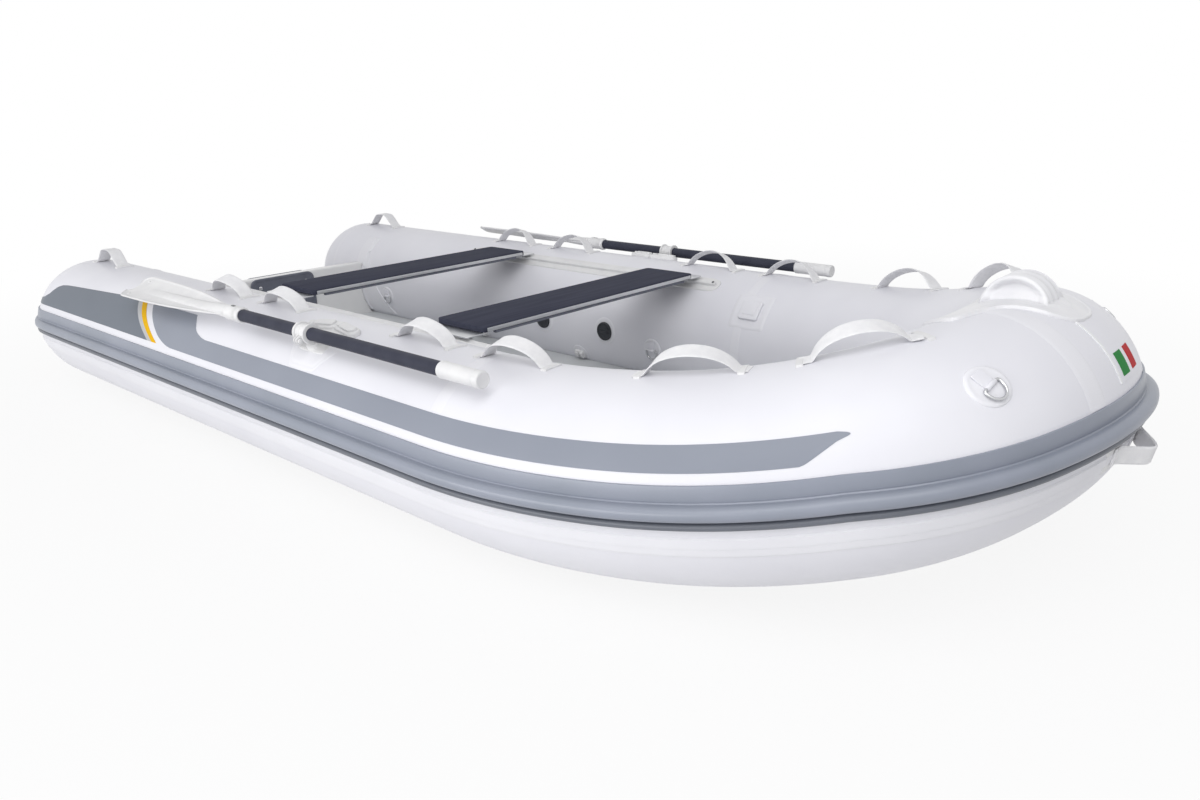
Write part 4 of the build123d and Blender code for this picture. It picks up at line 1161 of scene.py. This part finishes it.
def buildTowHandle():
    h = towHandle
    samples = np.linspace(bowStart, collarLength, 2000)
    line = onTube(samples, h["angle"])
    index = np.argmin(np.abs(line[:, 1] + h["span"] / 2))
    normal = tubeAxes(samples[index], h["angle"])[2] * (1, 0, 1)
    normal /= np.linalg.norm(normal)
    origin = line[index] * (1, 0, 1) + normal * handles["gap"]
    strap, chart = strapPart(origin, np.array([0.0, 1, 0]), normal, h["width"], h["span"], h["rise"], handles["foot"],
                             h["thickness"], h["flat"])
    makePiece("towHandleStrap", strap, "webbing", "tow_handle", strapMap=chart)
    feet = [patchPart(samples[index] - h["patchShift"], h["angle"], *h["patch"], 0.12, 0.0026, side, 0.0009)
            for side in (starboard, port)]
    makePiece("towHandleFeet", feet, "whitePlastic")


# D-rings, valves, cleats and pads

dRing = {
    "wire": 0.0030, "half": 0.0225, "reach": 0.0330, "bar": 0.0030, "lift": 0.0043, "tabHalf": 0.0135,
    # x, angle round the tube, the way the ring hangs in degrees from the bow up round the tube, and the patch's radius
    "places": [(1.593, 46.9, -68, 0.045), (-1.240, 188, 90, 0.038), (-0.470, 188, 90, 0.038), (0.295, 188, 90, 0.038)],
}
valve = {"places": [(-0.240, 180), (0.075, 180)], "radius": 0.034, "patch": 0.050}
cleat = {"xs": [-0.630, -0.075], "angle": 209.06, "size": (0.046, 0.030, 0.016), "patch": 0.036}
squarePad = {"place": (0.675, 141), "size": (0.072, 0.066, 0.012), "patch": (0.066, 0.064)}


def discPatch(distance, angle, radius, lift, side, rim, count=48):
    # rings from the middle out, each a circle on the skin; the edge falls to the tube over its last tenth
    share = np.linspace(0.02, 1, 22)[:, None]
    t = np.linspace(0, 2 * np.pi, count, endpoint=False)[None]
    d = distance + radius * share * np.cos(t) / skinStretch(distance, angle, side)
    a = angle + radius * share * np.sin(t) * degreesPerMetre
    inset = 1 - share
    height = lift * roundedEdge(inset, 0.06) + rim * ridge(inset, 0.16, 0.05)
    return loftPart(np.concatenate([onTube(d, a, height, side), onTube(d, a, -discSunk, side)[::-1]]))


def ringedPatch(place, side):
    # the wire ring, its round patch with a raised outer line, and the folded webbing tab
    r = dRing
    x, angle, hang, radius = place
    spot, along, around, normal = tubePlace(x, angle, side, r["lift"])
    out = turnedAxes(along, around, hang)[0]
    across = np.cross(normal, out)
    t = np.linspace(0, np.pi, 60)
    bow = np.stack([r["bar"] + r["reach"] * np.sin(t) ** 0.8, r["half"] * np.cos(t)], -1)
    bar = np.stack([np.full(25, r["bar"]), np.linspace(-r["half"], r["half"], 27)[1:-1]], -1)
    loop = np.concatenate([bow, bar])
    for _ in range(8):  # the bends are eased: each point moves to the mean of itself, twice, and its neighbours
        loop = (2 * loop + np.roll(loop, 1, 0) + np.roll(loop, -1, 0)) / 4
    wire = wirePart(spot + normal * r["wire"] + loop[:, 0:1] * out + loop[:, 1:2] * across, r["wire"])
    patch = discPatch(stationAt(x), angle, radius, 0.0034, side, 0.0008)
    length, width = radius * 0.86, 2 * r["tabHalf"]
    tab = blockPart(spot - out * (length / 2 - 0.006) - normal * 0.0012, (out, across, normal), (length, width), 0.003,
                    0, 0.0034, 0.0009)
    fold = [(0, 0), (0, 0.0046), (0.0006, 0.0052), (width - 0.0006, 0.0052), (width, 0.0046), (width, 0)]
    hinge = spot + out * r["bar"] + normal * r["wire"] - across * r["tabHalf"]
    return wire, patch, [tab, lathePart(hinge, across, fold, 24)]


def buildRings(side, name):
    wires, patches, tabs = zip(*[ringedPatch(place, side) for place in dRing["places"]])
    makePiece(name + "RingPatches", list(patches), "seamPvc", name + "_ring_patches", sharp=60.0)
    makePiece(name + "RingTabs", sum(tabs, []), "palePvc", sharp=50.0)
    makePiece(name + "DRingWires", list(wires), "stainless", name + "_d_rings", sharp=80.0)


def buildValves(side, name):
    # screw cap in its ring, with a moon-shaped hollow and a bar to turn it by
    r = valve["radius"]
    cap = [(-0.006, 0), (-0.006, r), (0.0035, r), (0.0058, r - 0.0010), (0.0068, r - 0.0030), (0.0066, r - 0.0050),
           (0.0040, r - 0.0064), (0.0034, r - 0.0090), (0.0034, 0)]
    t = np.linspace(math.radians(200), math.radians(340), 30)
    moon = np.stack([np.cos(t), np.sin(t)], -1) * (r - 0.0105)
    caps, patches = [], []
    for x, angle in valve["places"]:
        spot, *axes = tubePlace(x, angle, side)
        floor = spot + axes[2] * 0.0030
        caps += [lathePart(spot, axes[2], cap, 48), outlinePart(floor, axes, moon, edgeRows(0, 0.0034, 0.0010)),
                 blockPart(floor + axes[1] * 0.004, axes, (0.036, 0.006), 0.0028, 0, 0.0040, 0.0012)]
        patches.append(discPatch(stationAt(x), angle, valve["patch"], 0.0014, side, 0.0005))
    makePiece(name + "ValveCaps", caps, "blackRubberAndShade", name + "_valves", sharp=30.0)
    makePiece(name + "ValvePatches", patches, "seamPvc", sharp=60.0)


def buildCleats(side, name):
    length, width, height = cleat["size"]
    blocks, patches = [], []
    for x in cleat["xs"]:
        spot, *axes = tubePlace(x, cleat["angle"], side)
        blocks.append(blockPart(spot - axes[2] * 0.003, axes, (length, width), 0.006, 0, height - 0.003, 0.003))
        for step in (-1, 1):
            horn = spot + axes[0] * step * 0.0115 + axes[2] * (height - 0.007)
            blocks.append(blockPart(horn, axes, (0.016, width - 0.006), 0.005, 0, 0.007, 0.002))
        patches.append(discPatch(stationAt(x), cleat["angle"], cleat["patch"], 0.0016, side, 0.0005))
    makePiece(name + "FloorCleats", blocks, "whitePlastic", name + "_cleats", sharp=40.0)
    makePiece(name + "CleatPatches", patches, "seamPvc", sharp=60.0)


def buildPad(side, name):
    x, angle = squarePad["place"]
    length, width, height = squarePad["size"]
    spot, *axes = tubePlace(x, angle, side)
    flap = spot + axes[2] * (height - 0.003) - axes[1] * 0.002
    parts = [blockPart(spot - axes[2] * 0.002, axes, (length, width), 0.007, 0, height, 0.0035),
             blockPart(flap, axes, (length - 0.022, width - 0.026), 0.006, 0, 0.0024, 0.001),
             patchPart(stationAt(x), angle, *squarePad["patch"], 0.10, 0.0016, side, 0.0006)]
    makePiece(name + "SquarePad", parts, "seamPvc", name + "_square_pad", sharp=50.0)


def buildFittings():
    for side, name in sideNames.items():
        buildRings(side, name)
        buildValves(side, name)
        buildCleats(side, name)
        buildPad(side, name)


# Transom board, its glued strips and the engine plates

transom = {
    "x": -1.470, "thickness": 0.044, "foot": 0.0923, "top": 0.345, "reach": 0.2366, "edge": 0.007, "corner": 0.014,
    "plate": (0.290, 0.235), "plateThickness": 0.009, "plateCorner": 0.030, "gap": 0.0003, "bolts": (0.105, 0.078),
    "drain": (-0.085, 0.128), "kneeLow": 122.0, "kneeHigh": 214.0, "kneeBack": 0.010, "kneeLift": 0.0061,
    "kneeSheet": 0.0016, "kneeRim": 0.0022,
}


def buildTransomBoard():
    # half width halfSpacing - sqrt(reach^2 - (z - height)^2) between the tubes, its top corners rounded
    t = transom
    ahead, across, up = np.eye(3)

    def halfWidth(z):
        return collar["halfSpacing"] - np.sqrt(t["reach"] ** 2 - (z - collar["height"]) ** 2)

    z = np.linspace(t["foot"], t["top"] - t["corner"], 40)
    half = halfWidth(z)
    turn = np.linspace(0, np.pi / 2, 7)[1:]
    cornerY = half[-1] - t["corner"] + t["corner"] * np.cos(turn) + (halfWidth(t["top"]) - half[-1]) * 0.3
    cornerZ = t["top"] - t["corner"] + t["corner"] * np.sin(turn)
    right = np.concatenate([np.stack([half, z], -1), np.stack([cornerY, cornerZ], -1)])
    outline = np.concatenate([right, right[::-1] * (-1, 1)])
    board = outlinePart((t["x"], 0, 0), (across, up, ahead), outline, edgeRows(0, t["thickness"], t["edge"]))
    makePiece("transomBoard", board, "gelcoat", "transom", sharp=40.0)


def buildPlates():
    # plates with a shallow tray on both faces of the transom, four bolts in each, and the drain through the board
    t = transom
    ahead, across, up = np.eye(3)
    width, height = t["plate"]
    deep, (boltY, boltZ) = t["plateThickness"], t["bolts"]
    middle = t["top"] - height / 2
    rows = edgeRows(0, deep, 0.0025) + [(0.009, deep), (0.0115, deep - 0.0022), (0.013, deep - 0.0024)]
    outline = roundedRectangle(width, height, t["plateCorner"])
    bolt = [(0, 0.0085), (0.0022, 0.0085), (0.0032, 0.0068), (0.0036, 0)]
    cap = [(-0.002, 0), (-0.002, 0.021), (0.0025, 0.020), (0.0035, 0.0165), (0.0035, 0.0125), (0.0090, 0.0115),
           (0.0100, 0.0100), (0.0100, 0)]
    drain = []
    for plate, bolts, node, face, facing in (
            ("outerMotorPlate", "outerPlateBolts", "outer_motor_plate", t["x"], -1),
            ("innerMotorPad", "innerPadBolts", "inner_motor_pad", t["x"] + t["thickness"], 1)):
        x, out = face + facing * t["gap"], ahead * facing
        part = outlinePart((x, 0, middle), (across * facing, up, out), outline, rows)
        makePiece(plate, part, "darkPlateAndShade", node, sharp=30.0)
        spots = [(x + facing * (deep - 0.003), i * boltY, middle + j * boltZ) for i in (-1, 1) for j in (-1, 1)]
        makePiece(bolts, [lathePart(spot, out, bolt, 24) for spot in spots], "stainless")
        drain.append(lathePart((face, *t["drain"]), out, cap, 32))
    makePiece("drainPlug", drain, "blackRubberAndShade", sharp=30.0)


def buildTransomStrips():
    # cloth strip from the board along the tube to a slanted fore edge, raised over the board's end
    t = transom
    table = np.array(seams["transom"])
    angle = np.linspace(t["kneeLow"], t["kneeHigh"], 70)[:, None]
    fore = np.interp(angle, table[:, 0], table[:, 1])
    fore[angle < table[0, 0]] = table[0, 1] + 0.012
    back = t["x"] - t["kneeBack"]
    x = back + (fore - back) * np.linspace(0, 1, 60)[None]
    edge = np.minimum(fore - x, x - back)
    edge = np.minimum(edge, np.minimum(angle - t["kneeLow"], t["kneeHigh"] - angle) / degreesPerMetre)
    face = t["x"] + t["thickness"]
    height = t["kneeSheet"] + (t["kneeLift"] - t["kneeSheet"]) * (1 - smoothStep(x, face, face + 0.012))
    height = height + t["kneeRim"] * ridge(fore - x, 0.004, 0.003)
    height = height * roundedEdge(edge, 0.003, 0.01)
    d = x - collar["domeX"]
    for side, name in sideNames.items():
        strip = sheetPart(d, angle, height, side, seated)
        makePiece(name + "TransomStrip", strip, "seamPvc", name + "_transom_knee", sharp=60.0)


buildTubes()
buildStrake()
buildStripes()
buildBadge()
buildSeams()
print("collar built")
buildHandles()
print("handles built")
buildOars()
buildOarlocks()
print("oars built")
buildThwarts()
buildRails()
print("thwarts built")
buildSaddleWheel()
buildSaddleSkirt()
buildTowHandle()
buildFittings()
buildTransomBoard()
buildPlates()
buildTransomStrips()
print("fittings built")


# Studio: pale floor at the waterline, a large key light ahead and above, a low strip abeam and a weak one ahead

stageSizes = {"floor": 30.0, "camera": (2.2666, -2.0038, 1.0693), "target": (0.4863, 0.1007, 0.1712), "roll": -0.0176,
              "lens": 27.73, "shift": (-0.0341, -0.0069)}
lamps = {  # place, what it points at, size and watts
    "keySoftbox": ((2.0, -2.6, 3.7), (0.1, 0, 0.1), (4.4, 3.4), 92),
    "foreFill": ((3.4, -4.4, 1.3), (0.3, 0, 0.25), (4.0, 1.8), 12),
    "sideFill": ((-0.8, -5.2, 0.7), (-0.2, 0, 0.15), (5.0, 1.2), 98),
}


def placeObject(name, data):
    placed = bpy.data.objects.new(name, data)
    bpy.context.scene.collection.objects.link(placed)
    return placed


def whiteForSight(tree):
    # 1 for rays that lead to the camera straight, mirrored or through glass
    path = addNode(tree, "ShaderNodeLightPath").outputs
    seen = addMath(tree, "MAXIMUM", path["Is Camera Ray"], path["Is Glossy Ray"])
    return addMath(tree, "MAXIMUM", seen, path["Is Transmission Ray"])


def buildFloor():
    half = stageSizes["floor"]
    mesh = bpy.data.meshes.new("studioFloor")
    mesh.from_pydata([(-half, -half, 0), (half, -half, 0), (half, half, 0), (-half, half, 0)], [], [(0, 1, 2, 3)])
    material = bpy.data.materials.new("paleStudioFloor")
    material.use_nodes = True
    tree = material.node_tree
    tree.nodes.clear()
    matt = addNode(tree, "ShaderNodeBsdfDiffuse", {"Color": (0.78, 0.78, 0.78, 1)})
    glow = addNode(tree, "ShaderNodeEmission", {"Color": (1, 1, 1, 1), "Strength": 1.0})
    place = addNode(tree, "ShaderNodeTexCoord").outputs["Object"]
    reach = addNode(tree, "ShaderNodeVectorMath", {"operation": "LENGTH"}, {0: place})
    near = addNode(tree, "ShaderNodeMapRange", {"interpolation_type": "SMOOTHSTEP", "From Min": 1.2, "From Max": 4.5,
                                                "To Min": 0.88, "To Max": 1.0}, {"Value": reach.outputs["Value"]})
    share = addMath(tree, "MULTIPLY", near.outputs["Result"], whiteForSight(tree))
    mix = addNode(tree, "ShaderNodeMixShader", links={0: share, 1: matt.outputs[0], 2: glow.outputs[0]})
    addNode(tree, "ShaderNodeOutputMaterial", links={"Surface": mix.outputs[0]})
    mesh.materials.append(material)
    placeObject("studioFloor", mesh)


def addLamp(name, place, target, size, power):
    light = bpy.data.lights.new(name, "AREA")
    light.shape = "RECTANGLE"
    light.size, light.size_y = size
    light.energy = power
    lamp = placeObject(name, light)
    lamp.location = place
    lamp.rotation_euler = (Vector(target) - Vector(place)).to_track_quat("-Z", "Y").to_euler()


def buildStudio():
    scene = bpy.context.scene
    scene.view_settings.view_transform = "Standard"
    scene.world = bpy.data.worlds.new("studioWorld")
    scene.world.use_nodes = True
    tree = scene.world.node_tree
    tree.nodes.clear()
    ambient = addNode(tree, "ShaderNodeBackground", {"Color": (0.98, 0.98, 1.0, 1), "Strength": 0.56})
    white = addNode(tree, "ShaderNodeBackground", {"Color": (1, 1, 1, 1), "Strength": 1.0})
    mix = addNode(tree, "ShaderNodeMixShader",
                  links={0: whiteForSight(tree), 1: ambient.outputs[0], 2: white.outputs[0]})
    addNode(tree, "ShaderNodeOutputWorld", links={"Surface": mix.outputs[0]})
    for name, settings in lamps.items():
        addLamp(name, *settings)


def buildCamera():
    s = stageSizes
    data = bpy.data.cameras.new("camera")
    data.sensor_width = 36.0
    data.lens = s["lens"]
    data.shift_x, data.shift_y = s["shift"]
    data.clip_start = 0.05
    camera = placeObject("camera", data)
    place = Vector(s["camera"])
    forward = (Vector(s["target"]) - place).normalized()
    right = forward.cross(Vector((0, 0, 1))).normalized()
    up = right.cross(forward)
    c, t = math.cos(s["roll"]), math.sin(s["roll"])
    right, up = right * c + up * t, up * c - right * t
    turn = Matrix((right, up, -forward)).transposed()
    camera.matrix_world = Matrix.Translation(place) @ turn.to_4x4()
    bpy.context.scene.camera = camera


buildFloor()
buildStudio()
buildCamera()
print("studio built")

nodeFinishes = {"hull": "gelcoat", "sole": "nonSkid", "keel_guard": "keel"}
for nodeName, finish in nodeFinishes.items():
    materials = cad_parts[nodeName].data.materials
    materials.clear()
    materials.append(finishes[finish])

print("scene ready")
